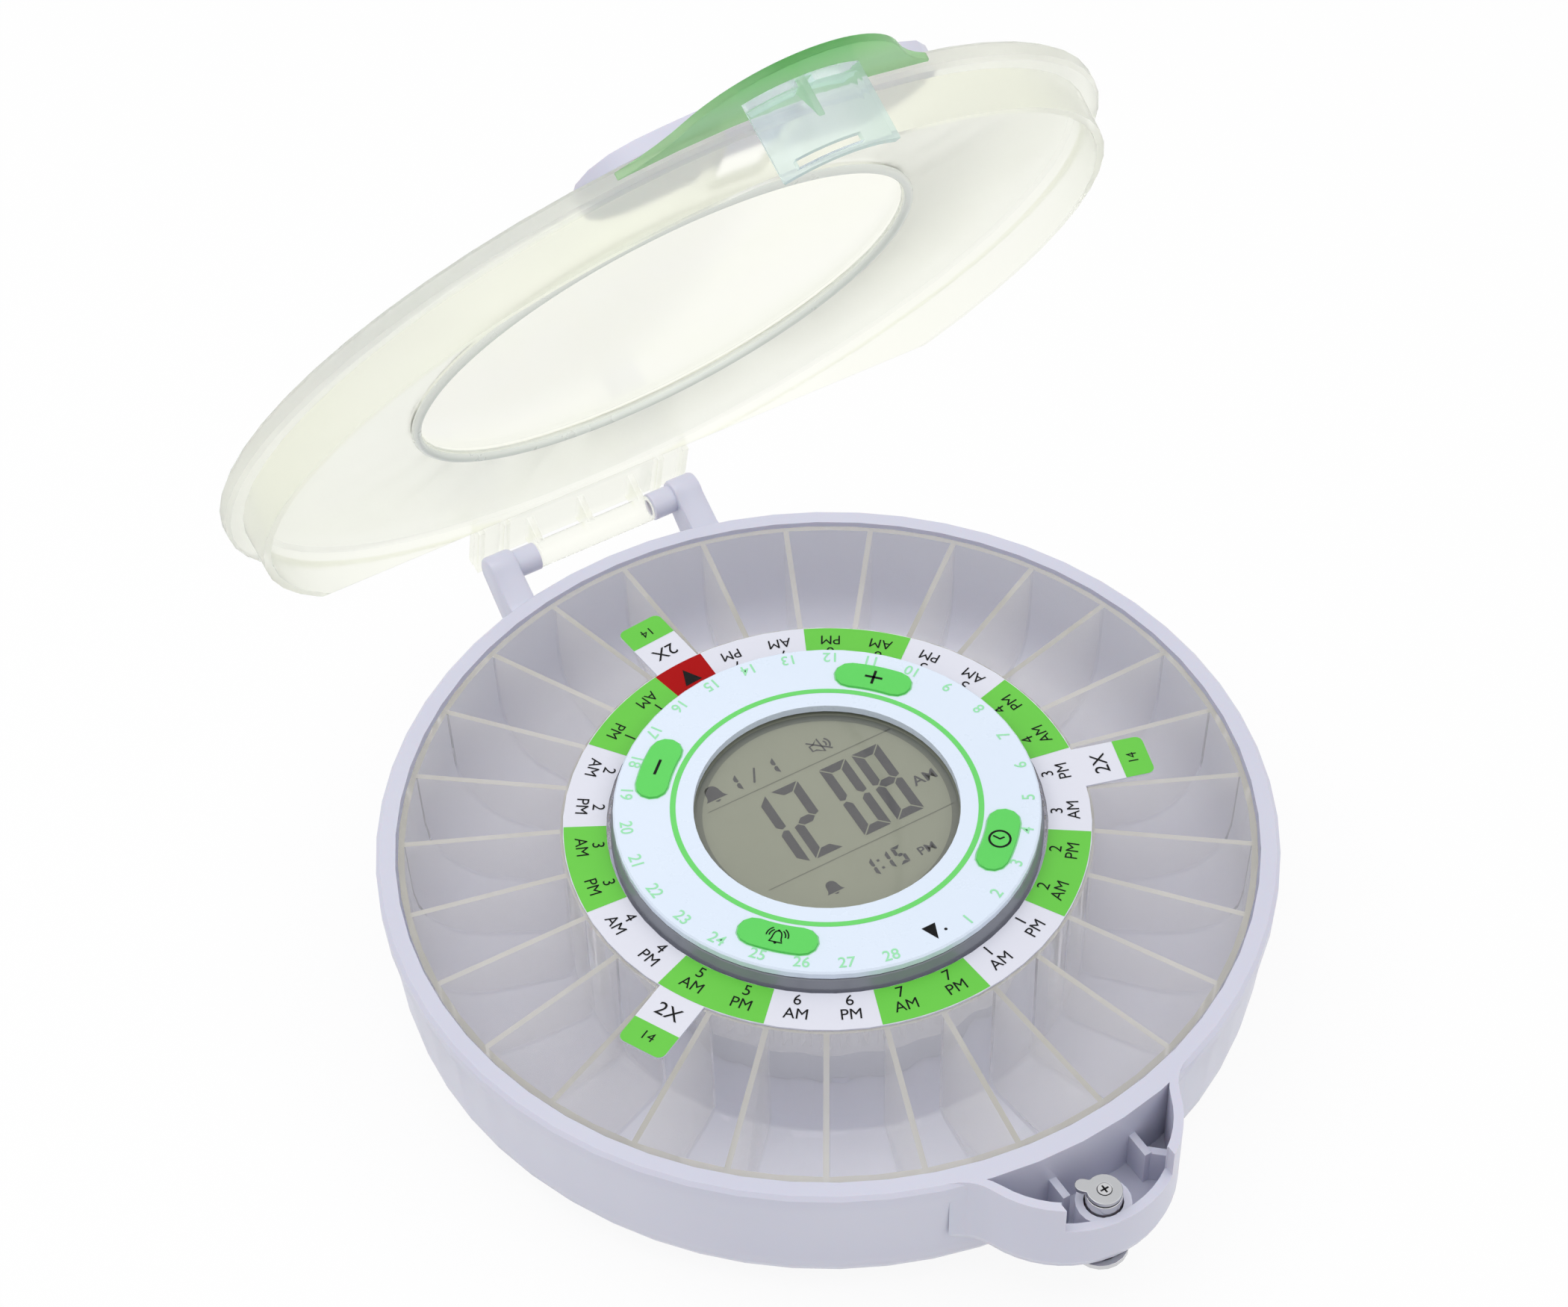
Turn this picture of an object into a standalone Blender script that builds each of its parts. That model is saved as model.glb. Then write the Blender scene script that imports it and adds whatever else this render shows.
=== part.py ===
"""Automatic carousel pill dispenser with a lockable hinged lid, shown with the lid open.

Metres, +Z up. The origin is the centre of the bowl's flat underside, -Y faces the lock and
+Y the hinge. The dosing tray turns about the vertical axis, driven by a gearmotor.
"""

import math

import bmesh
import bpy

# Whole object
DIVISIONS = 29
ROUND_STEPS = 60
FINE_STEPS = 40
SMALL_STEPS = 16
SHARP_ANGLE = math.radians(35)
GAP = 0.0003
WELD = 0.000003
FRONT = math.radians(-90)
BACK = math.radians(90)

# Battery bay, cells, door
CELL_RADIUS = 0.0071
CELL_SPACING = 0.0006
CELL_LENGTH = 0.049
CELL_NUB_RADIUS = 0.0027
CELL_NUB_LENGTH = 0.0015
CELL_COUNT = 4
CELL_STEPS = 20
BAY_SIDE_PLAY = 0.0001
BAY_END_PLAY = 0.00065
BAY_WALL = 0.0012
CONTACT_THICKNESS = 0.0005
CONTACT_SIDE_PLAY = 0.0007
CONTACT_HEIGHT = 0.011
CONTACT_LIFT = 0.0030
DOOR_THICKNESS = 0.0019
DOOR_TAB_HALF_WIDTH = 0.0052
DOOR_TAB_LENGTH = 0.0086
DOOR_SCREW_REACH = 0.0044
DOOR_POST_RADIUS = 0.0042
DOOR_POST_TOP = 0.011
DOOR_SEAT_TOP = 0.0038
DOOR_SEAT_MARGIN = 0.0015
SCREW_HEAD_RADIUS = 0.0026
SCREW_HEAD_HEIGHT = 0.0013
SCREW_HEAD_LIFT = 0.0002
SCREW_SHANK_RADIUS = 0.0014
SCREW_PLAY = 0.00006
SCREW_SLOT_WIDTH = 0.0007
SCREW_SLOT_LENGTH = 0.0038
SCREW_SLOT_DEPTH = 0.0006
DOOR_SCREW_LENGTH = 0.008
HOUSING_SCREW_LENGTH = 0.012
CELL_PITCH = 2 * CELL_RADIUS + CELL_SPACING
CELL_LIFT = DOOR_THICKNESS + GAP + CELL_RADIUS
BAY_TOP = CELL_LIFT + CELL_RADIUS + GAP
BAY_HALF_WIDTH = CELL_COUNT * CELL_PITCH / 2 + BAY_SIDE_PLAY
BAY_HALF_LENGTH = (CELL_LENGTH + CELL_NUB_LENGTH) / 2 + CONTACT_THICKNESS + BAY_END_PLAY
CONTACT_HALF_WIDTH = BAY_HALF_WIDTH - CONTACT_SIDE_PLAY
DOOR_TAB_REACH = BAY_HALF_LENGTH + DOOR_TAB_LENGTH
DOOR_SCREW_Y = BAY_HALF_LENGTH + DOOR_SCREW_REACH
SCREW_HOLE_RADIUS = SCREW_SHANK_RADIUS + SCREW_PLAY
SCREW_RECESS_RADIUS = SCREW_HEAD_RADIUS + GAP
SCREW_RECESS_DEPTH = SCREW_HEAD_LIFT + SCREW_HEAD_HEIGHT + GAP / 3

# Centre housing
HOUSING_BAY_GAP = 0.0005685
HOUSING_WALL = 0.0016
HOUSING_FOOT = 0.0025
HOUSING_TOP_DROP = 0.0010
LEDGE_WIDTH = 0.0028
LEDGE_THICKNESS = 0.0012
LEDGE_GEAR_GAP = 0.0008
LEDGE_TOP_DROP = 0.0060
POST_INSET = 0.00317
POST_BAY_GAP = 0.0019
POST_RADIUS = 0.0040
POST_TOP = 0.018
PAD_STEP = 0.0008
PAD_TOP = 0.0040
BAY_CORNER = math.hypot(BAY_HALF_WIDTH + BAY_WALL, BAY_HALF_LENGTH + BAY_WALL)
HOUSING_INNER_RADIUS = BAY_CORNER + HOUSING_BAY_GAP
HOUSING_RADIUS = HOUSING_INNER_RADIUS + HOUSING_WALL
LEDGE_INNER_RADIUS = HOUSING_INNER_RADIUS - LEDGE_WIDTH
PAD_RADIUS = POST_RADIUS + PAD_STEP
POST_Y = BAY_HALF_LENGTH + BAY_WALL + PAD_RADIUS + POST_BAY_GAP
POST_X = math.sqrt((HOUSING_INNER_RADIUS - POST_INSET) ** 2 - POST_Y ** 2)

# Control head
BEZEL_REACH = 0.0020
BEZEL_TAPER = 0.0006
BEZEL_SEAT = 0.0004
BEZEL_BOTTOM_DROP = 0.0007
FACE_INSET = 0.0001
FACE_BOTTOM_RISE = 0.0047
FACE_TOP_RISE = 0.0065
FACE_EDGE_ROUND = 0.0004
FACE_BAND = 0.0169
LENS_MARGIN = 0.0012
LENS_THICKNESS = 0.0008
PANEL_MARGIN = 0.0010
PANEL_THICKNESS = 0.0018
HOLDER_MARGIN = 0.0020
HOLDER_WIDTH = 0.0030
BOARD_PLAY = 0.0004
BOARD_THICKNESS = 0.0014
BUTTON_INSET = 0.0077
BUTTON_HALF_WIDTH = 0.0034
BUTTON_END_ANGLE = math.radians(7.8)
BUTTON_TURN = math.radians(-2.2)
BUTTON_RISE = 0.0070
BUTTON_BOTTOM_DROP = 0.0002
BUTTON_FLANGE = 0.0010
BUTTON_FLANGE_THICKNESS = 0.0009
BUTTON_ARC_STEPS = 6
BUTTON_CAP_STEPS = 6
SWITCH_SIZE = 0.006
SWITCH_HEIGHT = 0.0027
SWITCH_PLUNGER_RADIUS = 0.0016
SWITCH_PLUNGER_HEIGHT = 0.0004
BUZZER_RADIUS = 0.006
BUZZER_HEIGHT = 0.0045
BUZZER_INSET = 0.0176
BEZEL_TOP_RISE = FACE_BOTTOM_RISE - GAP
LENS_TOP_RISE = FACE_BOTTOM_RISE - GAP
LENS_BOTTOM_RISE = LENS_TOP_RISE - LENS_THICKNESS
BEZEL_RADIUS = HOUSING_RADIUS + BEZEL_REACH
BEZEL_TOP_RADIUS = BEZEL_RADIUS - BEZEL_TAPER
BEZEL_INNER_RADIUS = HOUSING_INNER_RADIUS + BEZEL_SEAT
FACE_RADIUS = BEZEL_TOP_RADIUS - FACE_INSET
WINDOW_RADIUS = FACE_RADIUS - FACE_BAND
BUTTON_RADIUS = FACE_RADIUS - BUTTON_INSET
LENS_RADIUS = WINDOW_RADIUS + LENS_MARGIN
PANEL_RADIUS = WINDOW_RADIUS + PANEL_MARGIN
HOLDER_RADIUS = WINDOW_RADIUS + HOLDER_MARGIN
HOLDER_INNER_RADIUS = HOLDER_RADIUS - HOLDER_WIDTH
BOARD_RADIUS = HOUSING_INNER_RADIUS - BOARD_PLAY
BUZZER_PLACE = BOARD_RADIUS - BUZZER_INSET

# Drive
GEAR_TEETH = 20
RING_TEETH = 79
RING_STANDOFF = 0.0038
RING_PITCH_RADIUS = HOUSING_RADIUS + RING_STANDOFF
GEAR_PITCH_RADIUS = RING_PITCH_RADIUS * GEAR_TEETH / RING_TEETH
TOOTH_ADDENDUM = 0.0009
TOOTH_DEDENDUM = 0.0012
TOOTH_HALF = 0.00066
TOOTH_SLOPE = math.tan(math.radians(20))
GEAR_BAY_GAP = 0.0043
GEAR_WIDTH = 0.0048
GEAR_SHAFT_RADIUS = 0.0015
GEAR_SHAFT_END = 0.010
MOTOR_RADIUS = 0.0062
MOTOR_TOP_GAP = 0.0007
MOTOR_BORE_PLAY = 0.00006
MOTOR_BORE_SPARE = 0.001
DRIVE_WINDOW_HALF = 0.0140
DRIVE_WINDOW_INSET = 0.0045
DRIVE_WINDOW_OVERRUN = 0.0024
DRIVE_WINDOW_LOW_GAP = 0.0004
DRIVE_WINDOW_HIGH_GAP = 0.0005
GEAR_BOTTOM = BAY_TOP + BAY_WALL + GEAR_BAY_GAP
GEAR_TOP = GEAR_BOTTOM + GEAR_WIDTH
LEDGE_BOTTOM = GEAR_TOP + LEDGE_GEAR_GAP
LEDGE_TOP = LEDGE_BOTTOM + LEDGE_THICKNESS
RIM_HEIGHT = LEDGE_TOP + LEDGE_TOP_DROP
MOTOR_TOP = GEAR_BOTTOM - MOTOR_TOP_GAP
MOTOR_BORE = GEAR_SHAFT_RADIUS + MOTOR_BORE_PLAY
MOTOR_BORE_END = GEAR_SHAFT_END - MOTOR_BORE_SPARE
DRIVE_WINDOW_INNER = HOUSING_INNER_RADIUS - DRIVE_WINDOW_INSET
DRIVE_WINDOW_OUTER = HOUSING_RADIUS + DRIVE_WINDOW_OVERRUN
DRIVE_WINDOW_BOTTOM = GEAR_BOTTOM - DRIVE_WINDOW_LOW_GAP
DRIVE_WINDOW_TOP = GEAR_TOP + DRIVE_WINDOW_HIGH_GAP

# Tray
TRAY_BOTTOM = 0.0025
TRAY_WALL = 0.0012
TRAY_CORNER_INSET = 0.0168
TRAY_CORNER_ROUND = 0.0161
TRAY_SIDE_PLAY = 0.0005
TRAY_RIM_DROP = 0.0008
TRAY_HUB_RISE = 0.0014
TRAY_HUB_STEP = 0.0058
TRAY_DEPTH = 0.0342
TRAY_HUB_WALL = 0.0014
TRAY_HUB_FLOOR_FILLET = 0.0025
TRAY_HOLE_PLAY = 0.0007
TRAY_TUBE_WALL = 0.0014
TRAY_PLATE = 0.0014
RING_BACKING = 0.0004
RING_OVERLAP = 0.0006
DIVIDER = 0.0012
TRAY_STEPS = 2 * DIVISIONS
POCKET_STEPS = 2
POCKET_ARC_STEPS = 5
POCKET_HEADROOM = 0.004
TRAY_REST_ANGLE = math.radians(-0.6)
TRAY_CORNER_HEIGHT = TRAY_BOTTOM + TRAY_CORNER_ROUND
TRAY_HOLE_RADIUS = BEZEL_RADIUS + TRAY_HOLE_PLAY
TRAY_TUBE_INNER_RADIUS = RING_PITCH_RADIUS + TOOTH_DEDENDUM + RING_BACKING
TRAY_TUBE_RADIUS = TRAY_TUBE_INNER_RADIUS + TRAY_TUBE_WALL
TRAY_HUB_RADIUS = TRAY_TUBE_RADIUS + TRAY_HUB_STEP
TRAY_TOP_RADIUS = TRAY_HUB_RADIUS + TRAY_DEPTH
TRAY_CORNER_RADIUS = TRAY_TOP_RADIUS - TRAY_CORNER_INSET
RING_BOTTOM = GEAR_BOTTOM - RING_OVERLAP
RING_TOP = GEAR_TOP + RING_OVERLAP

# Bowl
BOWL_FOOT_INSET = 0.014
BOWL_FOOT_ROUND = 0.012
BOWL_FLARE = 0.0007
BOWL_LIP_HEIGHT = 0.006
BOWL_LIP_STEP = 0.004
BOWL_LIP_ROUND = 0.0008
BOWL_WALL = 0.0041
BOWL_INNER_ROUND = 0.010
BOWL_FLOOR = 0.0022
BOWL_INNER_RADIUS = TRAY_TOP_RADIUS + TRAY_SIDE_PLAY
RIM_RADIUS = BOWL_INNER_RADIUS + BOWL_WALL
BOWL_FOOT_RADIUS = RIM_RADIUS - BOWL_FOOT_INSET
BOWL_SIDE_RADIUS = RIM_RADIUS - BOWL_FLARE

# Lock lobe on the front of the bowl
LOBE_INSET = 0.0078
LOBE_RADIUS = 0.02365
LOBE_TURN = math.radians(0.46)
LOBE_FILLET = 0.0095
LOBE_DEPTH = 0.021
LOBE_BOTTOM_ROUND = 0.0035
LOBE_WALL = 0.002
POCKET_DEPTH = 0.017
NOTCH_DEPTH = 0.007
NOTCH_HALF_WIDTH = 0.0126
NOTCH_SHIFT = 0.0007
NOTCH_STANDOFF = 0.0100
RIB_PLACES = (-0.0066, 0.0127)
RIB_THICKNESS = 0.0016
RIB_LENGTH = 0.0050
RIB_SINK = 0.0010
RIB_TOP_DROP = 0.0080
CROSS_RIB_LENGTH = 0.0056
CROSS_RIB_ANGLE = math.radians(-42)
LOBE_CENTRE = RIM_RADIUS - LOBE_INSET
NOTCH_INNER_REACH = RIM_RADIUS + NOTCH_STANDOFF
RIB_REACH = RIM_RADIUS + RIB_LENGTH
RIB_ROOT = RIM_RADIUS - RIB_SINK

# Lock
LOCK_X = -0.0014
LOCK_STANDOFF = 0.0099
BOSS_RADIUS = 0.0056
BOSS_TOP_DROP = 0.0072
BARREL_RADIUS = 0.0037
BARREL_HEAD_RADIUS = 0.0058
BARREL_HEAD_HEIGHT = 0.0012
PLUG_RADIUS = 0.0023
PLUG_CLEARANCE = 0.00006
PLUG_HEAD_STEP = 0.0007
PLUG_HEAD_HEIGHT = 0.0008
KEYWAY_WIDTH = 0.0009
KEYWAY_LENGTH = 0.0034
KEYWAY_DEPTH = 0.006
CAM_TOP_DROP = 0.0033
CAM_THICKNESS = 0.0010
CAM_RADIUS = 0.0036
CAM_TIP_RADIUS = 0.0059
CAM_TIP_HALF_WIDTH = 0.0015
CAM_REST_ANGLE = math.radians(135)
CAM_SCREW_RADIUS = 0.0014
CAM_SCREW_THREAD = 0.0008
CAM_SCREW_HEIGHT = 0.0005
CAM_SCREW_LENGTH = 0.004
CAM_SCREW_SLOT = 0.0004
CAM_RECESS_DEPTH = 0.0005
LOCK_DISTANCE = RIM_RADIUS + LOCK_STANDOFF
PLUG_HEAD_RADIUS = PLUG_RADIUS + PLUG_HEAD_STEP

# Hinge
HINGE_STANDOFF = 0.0067
HINGE_RISE = 0.0015
LID_OPEN_ANGLE = math.radians(61)
EAR_INNER = 0.0203
EAR_WIDTH = 0.0067
EAR_RADIUS = 0.0041
EAR_DROP = 0.015
EAR_SINK = 0.0018
EAR_ROOT_DROP = 0.0012
EAR_FOOT_LENGTH = 0.0031
EAR_FOOT_DROP = 0.0003
EAR_EDGE_ROUND = 0.0008
PEG_RADIUS = 0.0032
TRUNNION_RADIUS = 0.0018
TRUNNION_PLAY = 0.00007
TRUNNION_ENTRY = 0.0035
TRUNNION_END_PLAY = 0.0010
HINGE_BARREL_RADIUS = 0.0030
BARREL_HALF_LENGTH = 0.0144
BARREL_END_PLAY = 0.0004
HINGE_Y = RIM_RADIUS + HINGE_STANDOFF
EAR_OUTER = EAR_INNER + EAR_WIDTH
EAR_ROOT = BOWL_INNER_RADIUS - EAR_SINK
EAR_FOOT = EAR_ROOT + EAR_FOOT_LENGTH
PEG_INNER = BARREL_HALF_LENGTH + BARREL_END_PLAY
TRUNNION_BORE = TRUNNION_RADIUS + TRUNNION_PLAY
TRUNNION_END = EAR_INNER + TRUNNION_ENTRY
TRUNNION_BORE_END = TRUNNION_END + TRUNNION_END_PLAY

# Ring label
LABEL_MARGIN = 0.0006
LABEL_HOLE_MARGIN = 0.0001
LABEL_THICKNESS = 0.0004
LABEL_LIFT = 0.0001
LABEL_SKEW = math.radians(-0.7)
TAB_LENGTH = 0.0152
TAB_HALF_WIDTH = 0.0053
TAB_ROUND = 0.0016
TAB_PLACES = (15, 6, 24)
LABEL_RADIUS = TRAY_HUB_RADIUS - LABEL_MARGIN
LABEL_INNER_RADIUS = TRAY_HOLE_RADIUS + LABEL_HOLE_MARGIN
TAB_REACH = LABEL_RADIUS + TAB_LENGTH
TAB_ROOT = LABEL_RADIUS - TAB_ROUND

# Lid, in its closed place, heights above the rim
LID_FLANGE_REACH = 0.0035
LID_FLANGE_BOTTOM = 0.0090
LID_FLANGE_TOP = 0.0130
LID_FLANGE_ROUND = 0.0008
LID_WALL_INSET = 0.0009
LID_WALL_TAPER = 0.0003
LID_WALL = 0.0016
LID_WALL_FOOT = 0.0004
LID_PLATE_UNDERSIDE = 0.0112
LID_CROWN = 0.0010
LID_PLATE_TOP = 0.0133
LID_BAND = 0.0377
LID_SEAT = 0.0022
LID_REBATE_RISE = 0.0128
LID_CUT_LENGTH = 0.0371
LID_CUT_OVERRUN = 0.0014
LID_CUT_RISE = 0.0112
PANE_THICKNESS = 0.0014
PANE_BEVEL = 0.0010
OUTLET_INSET = 0.0061
OUTLET_LENGTH = 0.024
OUTLET_HALF_ANGLE = math.radians(5.2)
BRACKET_HALF_WIDTH = 0.0272
BRACKET_SINK = 0.0006
BRACKET_OVERHANG = 0.0068
BRACKET_ROOT_RISE = 0.0128
BRACKET_TIP_RISE = 0.0086
BRACKET_THICKNESS = 0.0017
BRACKET_RIB = 0.0015
BRACKET_RIB_PLACES = (0.0262, 0.0198)
BRACKET_RIB_DEPTH = 0.0022
BARREL_ARM_PLACES = (0.0, 0.0130)
LID_WALL_RADIUS = RIM_RADIUS - LID_WALL_INSET
LID_WALL_FOOT_RADIUS = LID_WALL_RADIUS - LID_WALL_TAPER
LID_FLANGE_RADIUS = LID_WALL_RADIUS + LID_FLANGE_REACH
LID_REBATE_RADIUS = LID_WALL_RADIUS - LID_BAND
LID_OPENING_RADIUS = LID_REBATE_RADIUS - LID_SEAT
LID_CUT_START = LID_WALL_RADIUS - LID_CUT_LENGTH
LID_CUT_END = LID_FLANGE_RADIUS + LID_CUT_OVERRUN
PANE_RADIUS = LID_REBATE_RADIUS - GAP
OUTLET_OUTER = LID_WALL_RADIUS - OUTLET_INSET
OUTLET_INNER = OUTLET_OUTER - OUTLET_LENGTH
BRACKET_ROOT = LID_WALL_RADIUS - BRACKET_SINK
BRACKET_TIP = HINGE_Y + BRACKET_OVERHANG

# Lid nose, latch plate, outlet hood
NOSE_OFFSET = 0.0048
NOSE_RADIUS = 0.0250
NOSE_FILLET = 0.032
NOSE_BOTTOM = 0.0104
NOSE_THICKNESS = 0.0016
NOSE_HALF_WIDTH = 0.0320
LATCH_OFFSET = 0.0012
LATCH_SHIFT = 0.0008
LATCH_OUTER_RADIUS = 0.0222
LATCH_THICKNESS = 0.0014
LATCH_HALF_ANGLE = math.radians(32.4)
LATCH_BOTTOM_DROP = 0.0057
LATCH_STEPS = 10
LATCH_SLOT_HALF = 0.0063
LATCH_SLOT_CLEARANCE = 0.0003
LATCH_FOOT = 0.0050
LATCH_FOOT_THICKNESS = 0.0013
GUSSET_HALF = 0.0007
GUSSET_PLAY = 0.0005
GUSSET_LENGTH = 0.0047
GUSSET_LOW = 0.0025
HOOD_INSET = 0.0121
HOOD_HALF_WIDTH = 0.0130
HOOD_END_ANGLE = math.radians(17.0)
HOOD_TURN = math.radians(1.5)
HOOD_TOP = 0.0168
HOOD_CHANNEL_HALF = 0.0085
HOOD_CHANNEL_RISE = 0.0154
HOOD_CHANNEL_MARGIN = 0.0005
HOOD_CHANNEL_RUN = 0.004
NOSE_CENTRE = LOBE_CENTRE + NOSE_OFFSET
NOSE_TOP = NOSE_BOTTOM + NOSE_THICKNESS
LATCH_CENTRE = LOBE_CENTRE + LATCH_OFFSET
GUSSET_OUTER = LATCH_CENTRE + LATCH_OUTER_RADIUS - LATCH_THICKNESS - GUSSET_PLAY
GUSSET_INNER = GUSSET_OUTER - GUSSET_LENGTH
HOOD_RADIUS = LID_WALL_RADIUS - HOOD_INSET
HOOD_CHANNEL_OUTER = OUTLET_OUTER + HOOD_CHANNEL_MARGIN
HOOD_CHANNEL_INNER = OUTLET_INNER - HOOD_CHANNEL_RUN

# Derived places
PITCH = 2 * math.pi / DIVISIONS
HINGE_Z = RIM_HEIGHT + HINGE_RISE
GEAR_DISTANCE = RING_PITCH_RADIUS - GEAR_PITCH_RADIUS
MOTOR_BOTTOM = BOWL_FLOOR + GAP
BUTTON_FLANGE_RISE = FACE_BOTTOM_RISE - GAP - BUTTON_FLANGE_THICKNESS
BARREL_TOP_DROP = CAM_TOP_DROP + CAM_THICKNESS + GAP
BOARD_BOTTOM = LEDGE_TOP + GAP
BOARD_TOP = BOARD_BOTTOM + BOARD_THICKNESS


def above_rim(rise):
    """Height above the underside of a level stated from the rim plane."""
    return RIM_HEIGHT + rise


def clear_scene():
    """Removes whatever objects the file starts with."""
    for item in list(bpy.data.objects):
        bpy.data.objects.remove(item, do_unlink=True)


def material(name, colour, roughness, metallic=0.0, alpha=1.0):
    """Makes a plain surface with its own colour, roughness and metallic value."""
    made = bpy.data.materials.new(name)
    made.use_nodes = True
    shader = made.node_tree.nodes["Principled BSDF"]
    shader.inputs["Base Color"].default_value = (*colour, 1.0)
    shader.inputs["Roughness"].default_value = roughness
    shader.inputs["Metallic"].default_value = metallic
    shader.inputs["Alpha"].default_value = alpha
    made.diffuse_color = (*colour, alpha)
    return made


def empty(name, location, rotation=(0.0, 0.0, 0.0)):
    """Adds a named empty that carries the pieces of one moving group."""
    made = bpy.data.objects.new(name, None)
    made.location = location
    made.rotation_euler = rotation
    bpy.context.scene.collection.objects.link(made)
    return made


def finish(name, mesh_data, surface=None, parent=None, location=(0.0, 0.0, 0.0), turn=0.0):
    """Turns a bmesh into a placed object with outward faces and smooth round sides."""
    bmesh.ops.recalc_face_normals(mesh_data, faces=mesh_data.faces[:])
    mesh = bpy.data.meshes.new(name)
    mesh_data.to_mesh(mesh)
    mesh_data.free()
    mesh.shade_smooth()
    mesh.set_sharp_from_angle(angle=SHARP_ANGLE)
    made = bpy.data.objects.new(name, mesh)
    bpy.context.scene.collection.objects.link(made)
    made.location = location
    made.rotation_euler = (0.0, 0.0, turn)
    if surface:
        mesh.materials.append(surface)
    if parent:
        made.parent = parent
    return made


def arc(centre, radius, start, end, count):
    """Points along an arc about centre, both ends included, angles in radians."""
    steps = [start + (end - start) * i / count for i in range(count + 1)]
    return [(centre[0] + radius * math.cos(a), centre[1] + radius * math.sin(a)) for a in steps]


def turned(name, profile, surface=None, steps=ROUND_STEPS, **place):
    """Solid of revolution about Z from a closed profile of radius and height pairs."""
    made = bmesh.new()
    points = [made.verts.new((radius, 0.0, height)) for radius, height in profile]
    for i, point in enumerate(points):
        following = points[(i + 1) % len(points)]
        if point.co.x > 0 or following.co.x > 0:
            made.edges.new((point, following))
    parts = made.verts[:] + made.edges[:]
    bmesh.ops.spin(made, geom=parts, cent=(0, 0, 0), axis=(0, 0, 1), dvec=(0, 0, 0),
                   angle=2 * math.pi, steps=steps, use_merge=True, use_duplicate=False)
    bmesh.ops.remove_doubles(made, verts=made.verts[:], dist=WELD)
    bmesh.ops.dissolve_degenerate(made, edges=made.edges[:], dist=WELD)
    return finish(name, made, surface, **place)


def ring(name, inner, outer, bottom, top, surface=None, steps=ROUND_STEPS, **place):
    """Plain ring, or a plain disc where the inner radius is zero."""
    profile = [(inner, bottom), (outer, bottom), (outer, top), (inner, top)]
    return turned(name, profile, surface, steps, **place)


def prism(name, outline, bottom, top, surface=None, **place):
    """Solid standing on a flat outline of x and y pairs."""
    made = bmesh.new()
    face = made.faces.new([made.verts.new((x, y, bottom)) for x, y in outline])
    grown = bmesh.ops.extrude_face_region(made, geom=[face])
    lifted = [item for item in grown["geom"] if isinstance(item, bmesh.types.BMVert)]
    bmesh.ops.translate(made, verts=lifted, vec=(0, 0, top - bottom))
    return finish(name, made, surface, **place)


def side_prism(name, outline, start, end, surface=None, **place):
    """Solid with an outline of y and z pairs, running along X from start to end."""
    made = bmesh.new()
    face = made.faces.new([made.verts.new((start, y, z)) for y, z in outline])
    grown = bmesh.ops.extrude_face_region(made, geom=[face])
    moved = [item for item in grown["geom"] if isinstance(item, bmesh.types.BMVert)]
    bmesh.ops.translate(made, verts=moved, vec=(end - start, 0, 0))
    return finish(name, made, surface, **place)


def block(name, low, high, surface=None, **place):
    """Rectangular block between two opposite corners."""
    outline = [(low[0], low[1]), (high[0], low[1]), (high[0], high[1]), (low[0], high[1])]
    return prism(name, outline, low[2], high[2], surface, **place)


def soften(item, width, segments=2, angle=math.radians(40)):
    """Rounds an object's sharp edges."""
    round_over = item.modifiers.new("edge round", "BEVEL")
    round_over.width = width
    round_over.segments = segments
    round_over.limit_method = "ANGLE"
    round_over.angle_limit = angle
    apply_all(item)
    return item


def apply_all(item):
    """Replaces an object's mesh with its evaluated mesh and drops its modifiers."""
    bpy.context.view_layer.update()
    evaluated = item.evaluated_get(bpy.context.evaluated_depsgraph_get())
    mesh = bpy.data.meshes.new_from_object(evaluated)
    item.modifiers.clear()
    item.data = mesh
    return item


def combine(item, tool, operation):
    """Adds a tool to an object or takes it away, then removes the tool."""
    step = item.modifiers.new(operation, "BOOLEAN")
    step.operation = operation
    step.solver = "EXACT"
    step.object = tool
    apply_all(item)
    bpy.data.objects.remove(tool, do_unlink=True)
    cleaned = bmesh.new()
    cleaned.from_mesh(item.data)
    bmesh.ops.remove_doubles(cleaned, verts=cleaned.verts[:], dist=WELD)
    bmesh.ops.dissolve_degenerate(cleaned, edges=cleaned.edges[:], dist=WELD)
    cleaned.to_mesh(item.data)
    cleaned.free()
    return item


def add(item, tool):
    """Unites an object with a tool."""
    return combine(item, tool, "UNION")


def cut(item, tool):
    """Takes a tool's volume away from an object."""
    return combine(item, tool, "DIFFERENCE")


def turned_band(mid, half_width, end_angle, arc_steps, cap_steps, centre=FRONT):
    """Outline of a curved slot or key: a band along an arc with round ends."""
    outline = arc((0, 0), mid + half_width, centre - end_angle, centre + end_angle, arc_steps)
    for side in (1, -1):
        place = centre + side * end_angle
        middle = (mid * math.cos(place), mid * math.sin(place))
        start = place if side > 0 else place + math.pi
        outline += arc(middle, half_width, start, start + math.pi, cap_steps)[1:-1]
        if side > 0:
            inner = arc((0, 0), mid - half_width, centre + end_angle, centre - end_angle, arc_steps)
            outline += inner
    return outline


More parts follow.
